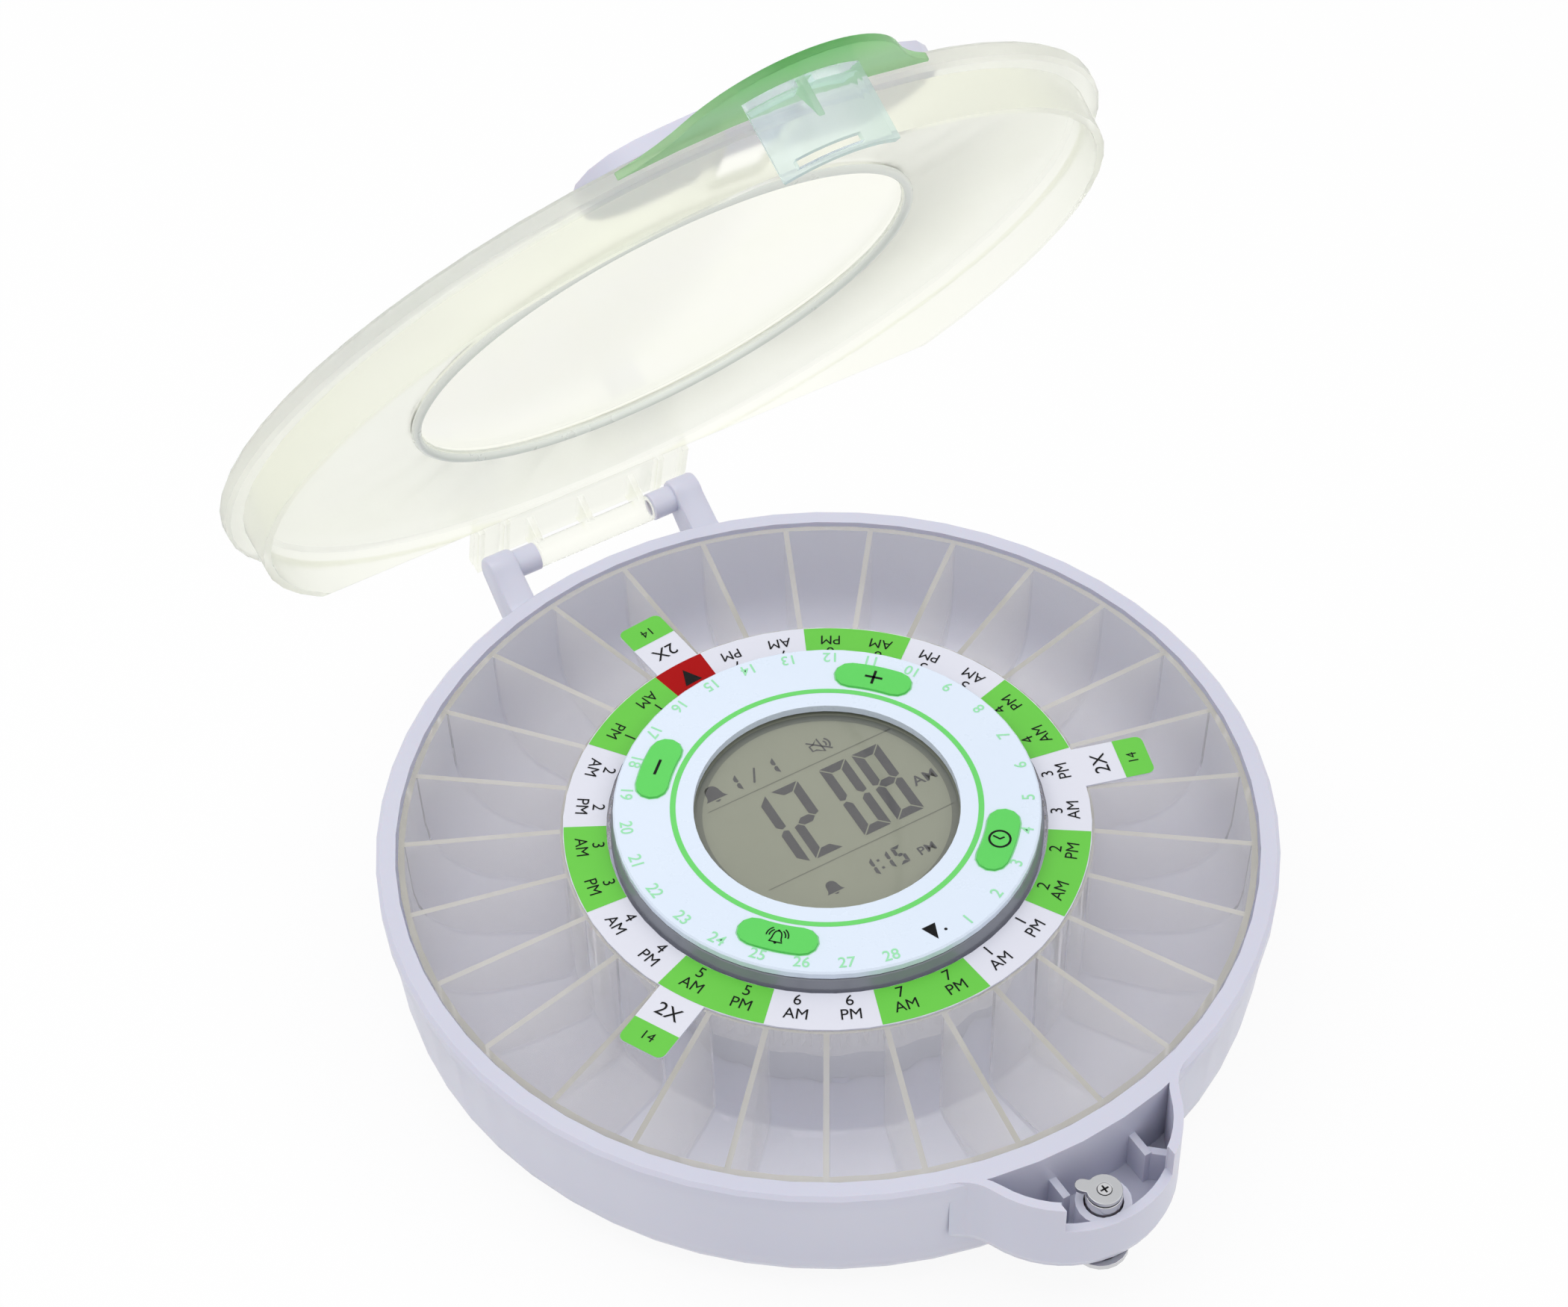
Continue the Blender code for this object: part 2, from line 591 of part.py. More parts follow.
def lobe_outline(body_radius, distance, radius, fillet, steps):
    """Outline of a round lobe in front of a round body, with hollow fillets beside it.

    The fillet's centre lies body_radius + fillet from the body's centre and
    radius + fillet from the lobe's centre, which fixes it where the two circles cross.
    """
    far = body_radius + fillet
    near = radius + fillet
    drop = (far ** 2 - near ** 2 + distance ** 2) / (2 * distance)
    side = math.sqrt(far ** 2 - drop ** 2)
    centre = (side, -drop)
    to_body = math.atan2(drop, -side)
    to_lobe = math.atan2(drop - distance, -side)
    half = arc(centre, fillet, to_body, to_lobe, steps)
    start = math.atan2(distance - drop, side)
    half += arc((0, -distance), radius, start, FRONT, 2 * steps)[1:]
    left = [(-x, y) for x, y in reversed(half[:-1])]
    return half + left


def tooth_ring(teeth, pitch_radius, inward, phase):
    """Outline of a toothed circle: tapering teeth that point inwards or outwards."""
    sign = -1 if inward else 1
    root = pitch_radius - sign * TOOTH_DEDENDUM
    tip = pitch_radius + sign * TOOTH_ADDENDUM
    root_half = (TOOTH_HALF + TOOTH_DEDENDUM * TOOTH_SLOPE) / root
    tip_half = (TOOTH_HALF - TOOTH_ADDENDUM * TOOTH_SLOPE) / tip
    outline = []
    for i in range(teeth):
        middle = phase + 2 * math.pi * i / teeth
        corners = ((root, -root_half), (tip, -tip_half), (tip, tip_half), (root, root_half))
        for radius, angle in corners:
            outline.append((radius * math.cos(middle + angle), radius * math.sin(middle + angle)))
    return outline


def screw(name, surface, length, place, parent=None):
    """Pan-head screw pointing up, head at the bottom, with a single slot."""
    head_top = SCREW_HEAD_LIFT + SCREW_HEAD_HEIGHT
    profile = [(0, SCREW_HEAD_LIFT), (SCREW_HEAD_RADIUS - GAP, SCREW_HEAD_LIFT),
               (SCREW_HEAD_RADIUS, SCREW_HEAD_LIFT + GAP), (SCREW_HEAD_RADIUS, head_top),
               (SCREW_SHANK_RADIUS, head_top), (SCREW_SHANK_RADIUS, length), (0, length)]
    made = turned(name, profile, surface, SMALL_STEPS, location=(*place, 0.0), parent=parent)
    slot = block("slot", (-SCREW_SLOT_LENGTH / 2, -SCREW_SLOT_WIDTH / 2, -GAP),
                 (SCREW_SLOT_LENGTH / 2, SCREW_SLOT_WIDTH / 2, SCREW_HEAD_LIFT + SCREW_SLOT_DEPTH),
                 location=(*place, 0.0))
    return cut(made, slot)


def bowl_profile():
    """Profile of the bowl: flat underside, round foot, slightly flared side, flat lip."""
    lip = RIM_HEIGHT
    outer = arc((BOWL_FOOT_RADIUS, BOWL_FOOT_ROUND), BOWL_FOOT_ROUND, FRONT, 0.0, 5)
    outer += [(BOWL_SIDE_RADIUS, lip - BOWL_LIP_HEIGHT), (RIM_RADIUS, lip - BOWL_LIP_STEP),
              (RIM_RADIUS, lip - BOWL_LIP_ROUND), (RIM_RADIUS - BOWL_LIP_ROUND, lip)]
    corner = (BOWL_INNER_RADIUS - BOWL_INNER_ROUND, BOWL_FLOOR + BOWL_INNER_ROUND)
    inner = [(BOWL_INNER_RADIUS, lip)] + arc(corner, BOWL_INNER_ROUND, 0.0, FRONT, 4)
    return [(0, 0)] + outer + inner + [(0, BOWL_FLOOR)]


def lobe_pocket():
    """Tool that hollows the lobe between its own wall and the bowl's round wall."""
    outline = lobe_outline(RIM_RADIUS - LOBE_WALL, LOBE_CENTRE, LOBE_RADIUS - LOBE_WALL,
                           LOBE_FILLET + LOBE_WALL, 5)
    made = prism("pocket", outline, above_rim(-POCKET_DEPTH), above_rim(POCKET_DEPTH), turn=LOBE_TURN)
    keep = ring("bowl wall", 0, RIM_RADIUS + GAP, above_rim(-LOBE_DEPTH), above_rim(LOBE_DEPTH))
    return cut(made, keep)


def pocket_rib(place):
    """Upright rib beside the lock, standing out from the bowl's wall."""
    floor = above_rim(-POCKET_DEPTH - LOBE_WALL / 2)
    half = RIB_THICKNESS / 2
    low = (place - half, -RIB_REACH, floor)
    return block("rib", low, (place + half, -RIB_ROOT, above_rim(-RIB_TOP_DROP)))


def cross_rib():
    """Short rib from the right rib's end to the lobe's wall."""
    half = RIB_THICKNESS / 2
    made = block("cross rib", (0, -half, above_rim(-POCKET_DEPTH - LOBE_WALL / 2)),
                 (CROSS_RIB_LENGTH, half, above_rim(-RIB_TOP_DROP - GAP)), turn=CROSS_RIB_ANGLE)
    made.location = (max(RIB_PLACES), -RIB_REACH + RIB_THICKNESS, 0.0)
    return made


def round_foot(item, width):
    """Rounds the lowest edges of a piece."""
    made = bmesh.new()
    made.from_mesh(item.data)
    low = min(point.co.z for point in made.verts)
    edges = [edge for edge in made.edges if all(point.co.z < low + WELD for point in edge.verts)]
    bmesh.ops.bevel(made, geom=edges, offset=width, segments=3, profile=0.5, affect="EDGES")
    made.to_mesh(item.data)
    made.free()
    return item


def hinge_ear(side):
    """Rounded ear behind the rim, with an inward peg on the hinge axis."""
    middle = (HINGE_Y, HINGE_Z)
    root = above_rim(-EAR_ROOT_DROP)
    outline = arc(middle, EAR_RADIUS, math.radians(150), math.radians(-35), 10)
    outline += [(EAR_ROOT, above_rim(-EAR_DROP)), (EAR_ROOT, root), (EAR_FOOT, above_rim(-EAR_FOOT_DROP))]
    low, high = sorted((side * EAR_INNER, side * EAR_OUTER))
    made = side_prism("ear", outline, low, high)
    soften(made, EAR_EDGE_ROUND, 2)
    low, high = sorted((side * PEG_INNER, side * (EAR_INNER + EAR_EDGE_ROUND * 2)))
    peg = side_prism("peg", arc(middle, PEG_RADIUS, 0.0, 2 * math.pi, SMALL_STEPS)[:-1], low, high)
    return add(made, peg)


def post_places():
    """Places of the four screws that hold the centre housing."""
    return [(x, y) for x in (-POST_X, POST_X) for y in (-POST_Y, POST_Y)]


def upright(radius, bottom, top, place, steps=SMALL_STEPS):
    """Upright round tool or post at a place in x and y."""
    return ring("round", 0, radius, bottom, top, steps=steps, location=(*place, 0))


def hinge_pin(radius, start, end):
    """Round tool along the hinge axis from start to end in X."""
    outline = arc((HINGE_Y, HINGE_Z), radius, 0.0, 2 * math.pi, SMALL_STEPS)[:-1]
    low, high = sorted((start, end))
    return side_prism("pin", outline, low, high)


def add_lobe(made):
    """Grows the lock lobe on the bowl, hollows it and stands the ribs and boss in it."""
    outline = lobe_outline(RIM_RADIUS - BOWL_LIP_ROUND, LOBE_CENTRE, LOBE_RADIUS, LOBE_FILLET, 5)
    lobe = prism("lobe", outline, above_rim(-LOBE_DEPTH), RIM_HEIGHT, turn=LOBE_TURN)
    round_foot(lobe, LOBE_BOTTOM_ROUND)
    inside = BOWL_INNER_RADIUS + LOBE_WALL / 2
    cut(lobe, ring("inside", 0, inside, 0, above_rim(LOBE_DEPTH)))
    add(made, lobe)
    cut(made, lobe_pocket())
    floor = above_rim(-POCKET_DEPTH - LOBE_WALL / 2)
    for place in RIB_PLACES:
        add(made, pocket_rib(place))
    add(made, cross_rib())
    lock_place = (LOCK_X, -LOCK_DISTANCE)
    add(made, upright(BOSS_RADIUS, floor, above_rim(-BOSS_TOP_DROP), lock_place, FINE_STEPS // 2))


def add_battery_bay(made):
    """Adds the battery bay's walls, the screw pads and the door's screw post."""
    floor = BOWL_FLOOR / 2
    half_width = BAY_HALF_WIDTH + BAY_WALL
    half_length = BAY_HALF_LENGTH + BAY_WALL
    add(made, block("bay", (-half_width, -half_length, floor),
                    (half_width, half_length, BAY_TOP + BAY_WALL)))
    for place in post_places():
        add(made, upright(PAD_RADIUS, floor, PAD_TOP, place))
    margin = DOOR_TAB_HALF_WIDTH + DOOR_SEAT_MARGIN
    add(made, block("seat wall", (-margin, -DOOR_TAB_REACH - DOOR_SEAT_MARGIN, floor),
                    (margin, -BAY_HALF_LENGTH, DOOR_SEAT_TOP)))
    add(made, upright(DOOR_POST_RADIUS, DOOR_THICKNESS + GAP * 2, DOOR_POST_TOP, (0, -DOOR_SCREW_Y)))


def cut_base_openings(made):
    """Cuts the latch notch, the lock and hinge bores, the battery bay and the screw holes."""
    far = -NOSE_CENTRE - NOSE_RADIUS
    cut(made, block("notch", (NOTCH_SHIFT - NOTCH_HALF_WIDTH, far, above_rim(-NOTCH_DEPTH)),
                    (NOTCH_SHIFT + NOTCH_HALF_WIDTH, -NOTCH_INNER_REACH, above_rim(NOTCH_DEPTH))))
    lock_place = (LOCK_X, -LOCK_DISTANCE)
    cut(made, upright(BARREL_RADIUS + GAP, 0, above_rim(LOBE_DEPTH), lock_place, FINE_STEPS // 2))
    for side in (-1, 1):
        cut(made, hinge_pin(TRUNNION_BORE, side * (PEG_INNER - GAP), side * TRUNNION_BORE_END))
    cut(made, block("bay inside", (-BAY_HALF_WIDTH, -BAY_HALF_LENGTH, -GAP),
                    (BAY_HALF_WIDTH, BAY_HALF_LENGTH, BAY_TOP)))
    cut(made, block("tab seat", (-DOOR_TAB_HALF_WIDTH - GAP, -DOOR_TAB_REACH - GAP, -GAP),
                    (DOOR_TAB_HALF_WIDTH + GAP, -BAY_HALF_LENGTH + GAP, DOOR_THICKNESS + GAP)))
    cut(made, upright(SCREW_HOLE_RADIUS, -GAP, DOOR_SCREW_LENGTH + GAP, (0, -DOOR_SCREW_Y)))
    for place in post_places():
        cut(made, upright(SCREW_RECESS_RADIUS, -GAP, SCREW_RECESS_DEPTH, place))
        cut(made, upright(SCREW_HOLE_RADIUS, -GAP, PAD_TOP + GAP, place))


def base_bowl(surface):
    """One moulding: bowl, lock lobe with its pocket, hinge ears and battery bay."""
    made = turned("base_bowl", bowl_profile(), surface)
    add_lobe(made)
    for side in (-1, 1):
        add(made, hinge_ear(side))
    add_battery_bay(made)
    cut_base_openings(made)
    return made


def battery_door(surface):
    """Flat door flush with the underside, with a screwed tab."""
    half_width = BAY_HALF_WIDTH - GAP
    half_length = BAY_HALF_LENGTH - GAP
    tab = DOOR_TAB_HALF_WIDTH
    outline = [(half_width, half_length), (-half_width, half_length), (-half_width, -half_length),
               (-tab, -half_length), (-tab, -DOOR_TAB_REACH), (tab, -DOOR_TAB_REACH),
               (tab, -half_length), (half_width, -half_length)]
    made = prism("battery_door", outline, 0, DOOR_THICKNESS, surface)
    place = (0, -DOOR_SCREW_Y)
    cut(made, upright(SCREW_RECESS_RADIUS, -GAP, SCREW_RECESS_DEPTH, place))
    cut(made, upright(SCREW_HOLE_RADIUS, -GAP, DOOR_THICKNESS + GAP, place))
    return made


def battery_cell(number, surface):
    """Round cell lying along Y, its contact nub at alternating ends."""
    half = CELL_LENGTH / 2
    profile = [(0, -half), (CELL_RADIUS, -half), (CELL_RADIUS, half), (CELL_NUB_RADIUS, half),
               (CELL_NUB_RADIUS, half + CELL_NUB_LENGTH), (0, half + CELL_NUB_LENGTH)]
    made = turned("battery_cell_%d" % number, profile, surface, CELL_STEPS)
    side = 1 if number % 2 else -1
    made.rotation_euler = (-side * BACK, 0.0, 0.0)
    across = (number - (CELL_COUNT + 1) / 2) * CELL_PITCH
    made.location = (across, -side * CELL_NUB_LENGTH / 2, CELL_LIFT)
    return made


def battery_contact(name, side, surface):
    """Contact strip at one end of the battery bay."""
    far = BAY_HALF_LENGTH - GAP
    low, high = sorted((side * far, side * (far - CONTACT_THICKNESS)))
    return block(name, (-CONTACT_HALF_WIDTH, low, CONTACT_LIFT),
                 (CONTACT_HALF_WIDTH, high, CONTACT_LIFT + CONTACT_HEIGHT), surface)


def control_housing(surface):
    """Centre column with a board ledge, screw posts and a window for the drive gear."""
    top = above_rim(-HOUSING_TOP_DROP)
    wall = HOUSING_INNER_RADIUS
    profile = [(wall, HOUSING_FOOT), (HOUSING_RADIUS, HOUSING_FOOT), (HOUSING_RADIUS, top), (wall, top),
               (wall, LEDGE_TOP), (LEDGE_INNER_RADIUS, LEDGE_TOP), (LEDGE_INNER_RADIUS, LEDGE_BOTTOM),
               (wall, LEDGE_BOTTOM)]
    made = turned("control_housing", profile, surface, FINE_STEPS)
    for place in post_places():
        add(made, upright(POST_RADIUS, PAD_TOP, POST_TOP, place))
    for place in post_places():
        cut(made, upright(PAD_RADIUS + GAP, 0, PAD_TOP + GAP, place))
        cut(made, upright(SCREW_HOLE_RADIUS, 0, HOUSING_SCREW_LENGTH + GAP, place))
    window = block("window", (-DRIVE_WINDOW_HALF, DRIVE_WINDOW_INNER, DRIVE_WINDOW_BOTTOM),
                   (DRIVE_WINDOW_HALF, DRIVE_WINDOW_OUTER, DRIVE_WINDOW_TOP))
    return cut(made, window)


def bezel_ring(surface):
    """Grey side ring of the control head, tapering up to the face."""
    low = above_rim(-BEZEL_BOTTOM_DROP)
    high = above_rim(BEZEL_TOP_RISE)
    middle = above_rim(BEZEL_TOP_RISE / 2)
    profile = [(BEZEL_INNER_RADIUS, low), (BEZEL_RADIUS, low), (BEZEL_RADIUS, middle),
               (BEZEL_TOP_RADIUS, high), (BEZEL_INNER_RADIUS, high)]
    return turned("bezel_ring", profile, surface)


def button_outline(centre, margin=0.0):
    """Outline of a curved key, grown by a margin."""
    return turned_band(BUTTON_RADIUS, BUTTON_HALF_WIDTH + margin, BUTTON_END_ANGLE, BUTTON_ARC_STEPS,
                       BUTTON_CAP_STEPS, centre)


def faceplate(surface):
    """White face with the round display window and four key openings."""
    low = above_rim(FACE_BOTTOM_RISE)
    high = above_rim(FACE_TOP_RISE)
    profile = [(WINDOW_RADIUS, low), (FACE_RADIUS, low), (FACE_RADIUS, high - FACE_EDGE_ROUND),
               (FACE_RADIUS - FACE_EDGE_ROUND, high), (WINDOW_RADIUS, high)]
    made = turned("faceplate", profile, surface)
    for quarter in range(4):
        outline = button_outline(BACK / 2 + BUTTON_TURN + quarter * BACK, GAP)
        cut(made, prism("key opening", outline, low - GAP, high + GAP))
    return made


def key_button(name, centre, surface):
    """Curved key with a retaining flange under the face."""
    low = above_rim(BUTTON_BOTTOM_DROP)
    made = prism(name, button_outline(centre), low, above_rim(BUTTON_RISE), surface)
    flange_low = above_rim(BUTTON_FLANGE_RISE)
    flange_high = flange_low + BUTTON_FLANGE_THICKNESS
    return add(made, prism("flange", button_outline(centre, BUTTON_FLANGE), flange_low, flange_high))


def key_switch(name, centre, surface):
    """Small push switch on the board under a key."""
    half = SWITCH_SIZE / 2
    low = BOARD_TOP + GAP
    place = (BUTTON_RADIUS * math.cos(centre), BUTTON_RADIUS * math.sin(centre), 0.0)
    made = block(name, (-half, -half, low), (half, half, low + SWITCH_HEIGHT), surface, location=place,
                 turn=centre)
    plunger = ring("plunger", 0, SWITCH_PLUNGER_RADIUS, low + SWITCH_HEIGHT / 2,
                   low + SWITCH_HEIGHT + SWITCH_PLUNGER_HEIGHT, steps=SMALL_STEPS // 2, location=place)
    return add(made, plunger)


def gearmotor(surface):
    """Upright round gearmotor with a bore that guides the gear's shaft."""
    made = ring("gearmotor", 0, MOTOR_RADIUS, MOTOR_BOTTOM, MOTOR_TOP, surface, FINE_STEPS // 2,
                location=(0, GEAR_DISTANCE, 0))
    return cut(made, ring("bore", 0, MOTOR_BORE, MOTOR_BORE_END, MOTOR_TOP + GAP, steps=SMALL_STEPS,
                          location=(0, GEAR_DISTANCE, 0)))


def drive_gear(surface, parent):
    """Toothed gear with its shaft, in mesh with the tray's inner teeth."""
    made = prism("drive_gear", tooth_ring(GEAR_TEETH, GEAR_PITCH_RADIUS, False, BACK), GEAR_BOTTOM, GEAR_TOP,
                 surface, parent=parent)
    shaft = ring("shaft", 0, GEAR_SHAFT_RADIUS, GEAR_SHAFT_END, (GEAR_BOTTOM + GEAR_TOP) / 2,
                 steps=SMALL_STEPS, location=(0, GEAR_DISTANCE, 0))
    return add(made, shaft)


def tray_profile():
    """Profile of the tray before its compartments are sunk: rounded outside, hollow hub."""
    hub_top = above_rim(TRAY_HUB_RISE)
    rim_top = above_rim(-TRAY_RIM_DROP)
    corner = (TRAY_CORNER_RADIUS, TRAY_CORNER_HEIGHT)
    outer = arc(corner, TRAY_CORNER_ROUND, FRONT, 0.0, POCKET_ARC_STEPS)
    hub_inner = TRAY_HUB_RADIUS - TRAY_HUB_WALL
    return ([(hub_inner, TRAY_BOTTOM)] + outer + [(TRAY_TOP_RADIUS, rim_top), (TRAY_HUB_RADIUS, hub_top),
            (TRAY_HOLE_RADIUS, hub_top), (TRAY_HOLE_RADIUS, hub_top - TRAY_PLATE),
            (TRAY_TUBE_INNER_RADIUS, hub_top - TRAY_PLATE), (TRAY_TUBE_INNER_RADIUS, RING_BOTTOM),
            (TRAY_TUBE_RADIUS, RING_BOTTOM), (TRAY_TUBE_RADIUS, hub_top - TRAY_PLATE),
            (hub_inner, hub_top - TRAY_PLATE)])


def pocket_profile():
    """Profile of one compartment: deep round outer corner, small fillet at the hub."""
    corner = (TRAY_CORNER_RADIUS, TRAY_CORNER_HEIGHT)
    top = above_rim(POCKET_HEADROOM)
    floor = TRAY_BOTTOM + TRAY_WALL
    fillet = (TRAY_HUB_RADIUS + TRAY_HUB_FLOOR_FILLET, floor + TRAY_HUB_FLOOR_FILLET)
    points = arc(fillet, TRAY_HUB_FLOOR_FILLET, math.pi, -FRONT + math.pi, 2)
    points += arc(corner, TRAY_CORNER_ROUND - TRAY_WALL, FRONT, 0.0, POCKET_ARC_STEPS)
    points += [(TRAY_TOP_RADIUS - TRAY_WALL, top), (TRAY_HUB_RADIUS, top)]
    return points


def pocket_tool():
    """All compartments as one tool; each side lies half a divider off the radial line."""
    made = bmesh.new()
    profile = pocket_profile()
    for number in range(DIVISIONS):
        middle = FRONT + number * PITCH
        columns = []
        for j in range(POCKET_STEPS + 1):
            column = []
            for radius, height in profile:
                half = PITCH / 2 - math.asin(DIVIDER / 2 / radius)
                angle = middle - half + 2 * half * j / POCKET_STEPS
                column.append(made.verts.new((radius * math.cos(angle), radius * math.sin(angle), height)))
            columns.append(column)
        for left, right in zip(columns, columns[1:]):
            for i in range(len(profile)):
                k = (i + 1) % len(profile)
                made.faces.new((left[i], left[k], right[k], right[i]))
        made.faces.new(columns[0])
        made.faces.new(list(reversed(columns[-1])))
    return finish("compartments", made)


def tray(surface, parent):
    """Clear carousel tray with 29 compartments and an inner tooth ring under its hub."""
    made = turned("tray", tray_profile(), surface, TRAY_STEPS, parent=parent)
    middle = (TRAY_TUBE_INNER_RADIUS + TRAY_TUBE_RADIUS) / 2
    ring_out = ring("tooth ring", 0, middle, RING_BOTTOM + GAP, RING_TOP, steps=TRAY_STEPS)
    teeth = tooth_ring(RING_TEETH, RING_PITCH_RADIUS, True, BACK + math.pi / RING_TEETH - TRAY_REST_ANGLE)
    cut(ring_out, prism("tooth hole", teeth, RING_BOTTOM - GAP, RING_TOP + GAP))
    parent_turn = parent.rotation_euler.z
    ring_out.rotation_euler = (0.0, 0.0, parent_turn)
    add(made, ring_out)
    tool = pocket_tool()
    tool.rotation_euler = (0.0, 0.0, parent_turn)
    return cut(made, tool)


def label_disc(surface, parent):
    """Thin printed ring on the tray's hub with three tabs over the compartments."""
    low = above_rim(TRAY_HUB_RISE + LABEL_LIFT)
    high = low + LABEL_THICKNESS
    turn = parent.rotation_euler.z
    made = ring("label_disc", LABEL_INNER_RADIUS, LABEL_RADIUS, low, high, surface, TRAY_STEPS, parent=parent,
                turn=LABEL_SKEW)
    for place in TAB_PLACES:
        angle = FRONT + place * PITCH + LABEL_SKEW + turn
        half = TAB_HALF_WIDTH
        end = TAB_REACH - TAB_ROUND
        outline = [(TAB_ROOT, -half), (end, -half)]
        outline += arc((end, -half + TAB_ROUND), TAB_ROUND, FRONT, 0.0, 3)[1:]
        outline += arc((end, half - TAB_ROUND), TAB_ROUND, 0.0, BACK, 3)
        outline += [(TAB_ROOT, half)]
        add(made, prism("tab", outline, low, high, turn=angle))
    return made


def lock_body(surface):
    """Lock barrel through the lobe's boss, with its round key-side head."""
    head_top = above_rim(-LOBE_DEPTH) - GAP
    head_low = head_top - BARREL_HEAD_HEIGHT
    top = above_rim(-BARREL_TOP_DROP)
    bore = PLUG_RADIUS + PLUG_CLEARANCE
    recess = PLUG_HEAD_RADIUS + PLUG_CLEARANCE
    profile = [(recess, head_low), (BARREL_HEAD_RADIUS, head_low), (BARREL_HEAD_RADIUS, head_top),
               (BARREL_RADIUS, head_top), (BARREL_RADIUS, top), (bore, top),
               (bore, head_low + PLUG_HEAD_HEIGHT + GAP), (recess, head_low + PLUG_HEAD_HEIGHT + GAP)]
    return turned("lock_body", profile, surface, FINE_STEPS // 2, location=(LOCK_X, -LOCK_DISTANCE, 0))


def lock_plug(surface, parent):
    """Turning core of the lock with a keyway in its lower face and a bore for the screw."""
    low = above_rim(-LOBE_DEPTH) - GAP - BARREL_HEAD_HEIGHT
    cam_low = above_rim(-CAM_TOP_DROP - CAM_THICKNESS) - GAP / 3
    profile = [(0, low), (PLUG_HEAD_RADIUS, low), (PLUG_HEAD_RADIUS, low + PLUG_HEAD_HEIGHT),
               (PLUG_RADIUS, low + PLUG_HEAD_HEIGHT), (PLUG_RADIUS, cam_low), (0, cam_low)]
    made = turned("lock_plug", profile, surface, SMALL_STEPS, parent=parent)
    centre = parent.location.copy()
    slot = block("keyway", (-KEYWAY_LENGTH / 2, -KEYWAY_WIDTH / 2, low - GAP),
                 (KEYWAY_LENGTH / 2, KEYWAY_WIDTH / 2, low + KEYWAY_DEPTH), location=centre)
    cut(made, slot)
    hole = CAM_SCREW_THREAD + PLUG_CLEARANCE
    return cut(made, ring("screw bore", 0, hole, cam_low - CAM_SCREW_LENGTH, cam_low + GAP, steps=SMALL_STEPS,
                          location=centre))


def lock_cam(surface, parent):
    """Round cam with one nose that reaches into the latch plate when locked."""
    top = above_rim(-CAM_TOP_DROP)
    low = top - CAM_THICKNESS
    tip = CAM_TIP_HALF_WIDTH
    shoulder = math.asin(tip / CAM_RADIUS)
    first = CAM_REST_ANGLE + shoulder
    outline = arc((0, 0), CAM_RADIUS, first, first + 2 * (math.pi - shoulder), 20)
    nose = arc((CAM_TIP_RADIUS - tip, 0), tip, FRONT, BACK, 6)
    cosine, sine = math.cos(CAM_REST_ANGLE), math.sin(CAM_REST_ANGLE)
    outline += [(x * cosine - y * sine, x * sine + y * cosine) for x, y in nose]
    made = prism("lock_cam", outline, low, top, surface, parent=parent)
    centre = parent.location.copy()
    cut(made, ring("recess", 0, CAM_SCREW_RADIUS + GAP / 3, top - CAM_RECESS_DEPTH, top + GAP,
                   steps=SMALL_STEPS, location=centre))
    return cut(made, ring("hole", 0, CAM_SCREW_THREAD + PLUG_CLEARANCE, low - GAP, top + GAP,
                          steps=SMALL_STEPS, location=centre))


def cam_screw(surface, parent):
    """Cross-slotted screw that holds the cam on the plug."""
    seat = above_rim(-CAM_TOP_DROP) - CAM_RECESS_DEPTH + PLUG_CLEARANCE
    top = seat + CAM_SCREW_HEIGHT
    low = seat - CAM_SCREW_LENGTH + CAM_RECESS_DEPTH
    profile = [(0, low), (CAM_SCREW_THREAD, low), (CAM_SCREW_THREAD, seat), (CAM_SCREW_RADIUS, seat),
               (CAM_SCREW_RADIUS, top), (0, top)]
    made = turned("cam_screw", profile, surface, SMALL_STEPS, parent=parent)
    centre = parent.location.copy()
    long, short = CAM_SCREW_RADIUS * 2 / 3, CAM_SCREW_SLOT / 2
    for half_x, half_y in ((long, short), (short, long)):
        low_corner = (-half_x, -half_y, top - CAM_SCREW_HEIGHT * 2 / 3)
        cut(made, block("slot", low_corner, (half_x, half_y, top + GAP), location=centre))
    return made


def lid_shell_profile():
    """Profile of the frosted lid: crowned plate, flange, step and thin side wall."""
    flange = LID_FLANGE_RADIUS
    step = LID_FLANGE_ROUND
    crown_top = LID_PLATE_TOP + LID_CROWN
    crown_low = LID_PLATE_UNDERSIDE + LID_CROWN
    inner = LID_WALL_RADIUS - LID_WALL
    return [(LID_REBATE_RADIUS, crown_top), (LID_WALL_RADIUS, LID_PLATE_TOP),
            (flange - step, LID_FLANGE_TOP), (flange, LID_FLANGE_TOP - step),
            (flange, LID_FLANGE_BOTTOM + step), (flange - step, LID_FLANGE_BOTTOM),
            (LID_WALL_RADIUS, LID_FLANGE_BOTTOM), (LID_WALL_FOOT_RADIUS, LID_WALL_FOOT),
            (LID_WALL_FOOT_RADIUS - LID_WALL, LID_WALL_FOOT), (inner, LID_PLATE_UNDERSIDE - step),
            (inner - step, LID_PLATE_UNDERSIDE), (LID_OPENING_RADIUS, crown_low),
            (LID_OPENING_RADIUS, LID_REBATE_RISE), (LID_REBATE_RADIUS, LID_REBATE_RISE)]


def lid_point(y, rise):
    """A closed lid's y and height above the rim, measured from the hinge axis."""
    return (y - HINGE_Y, rise - HINGE_RISE)


def lid_piece(make, *arguments, **options):
    """Makes a piece of the lid in its closed place, seen from the hinge axis."""
    return make(*arguments, location=(0, -HINGE_Y, -HINGE_RISE), **options)


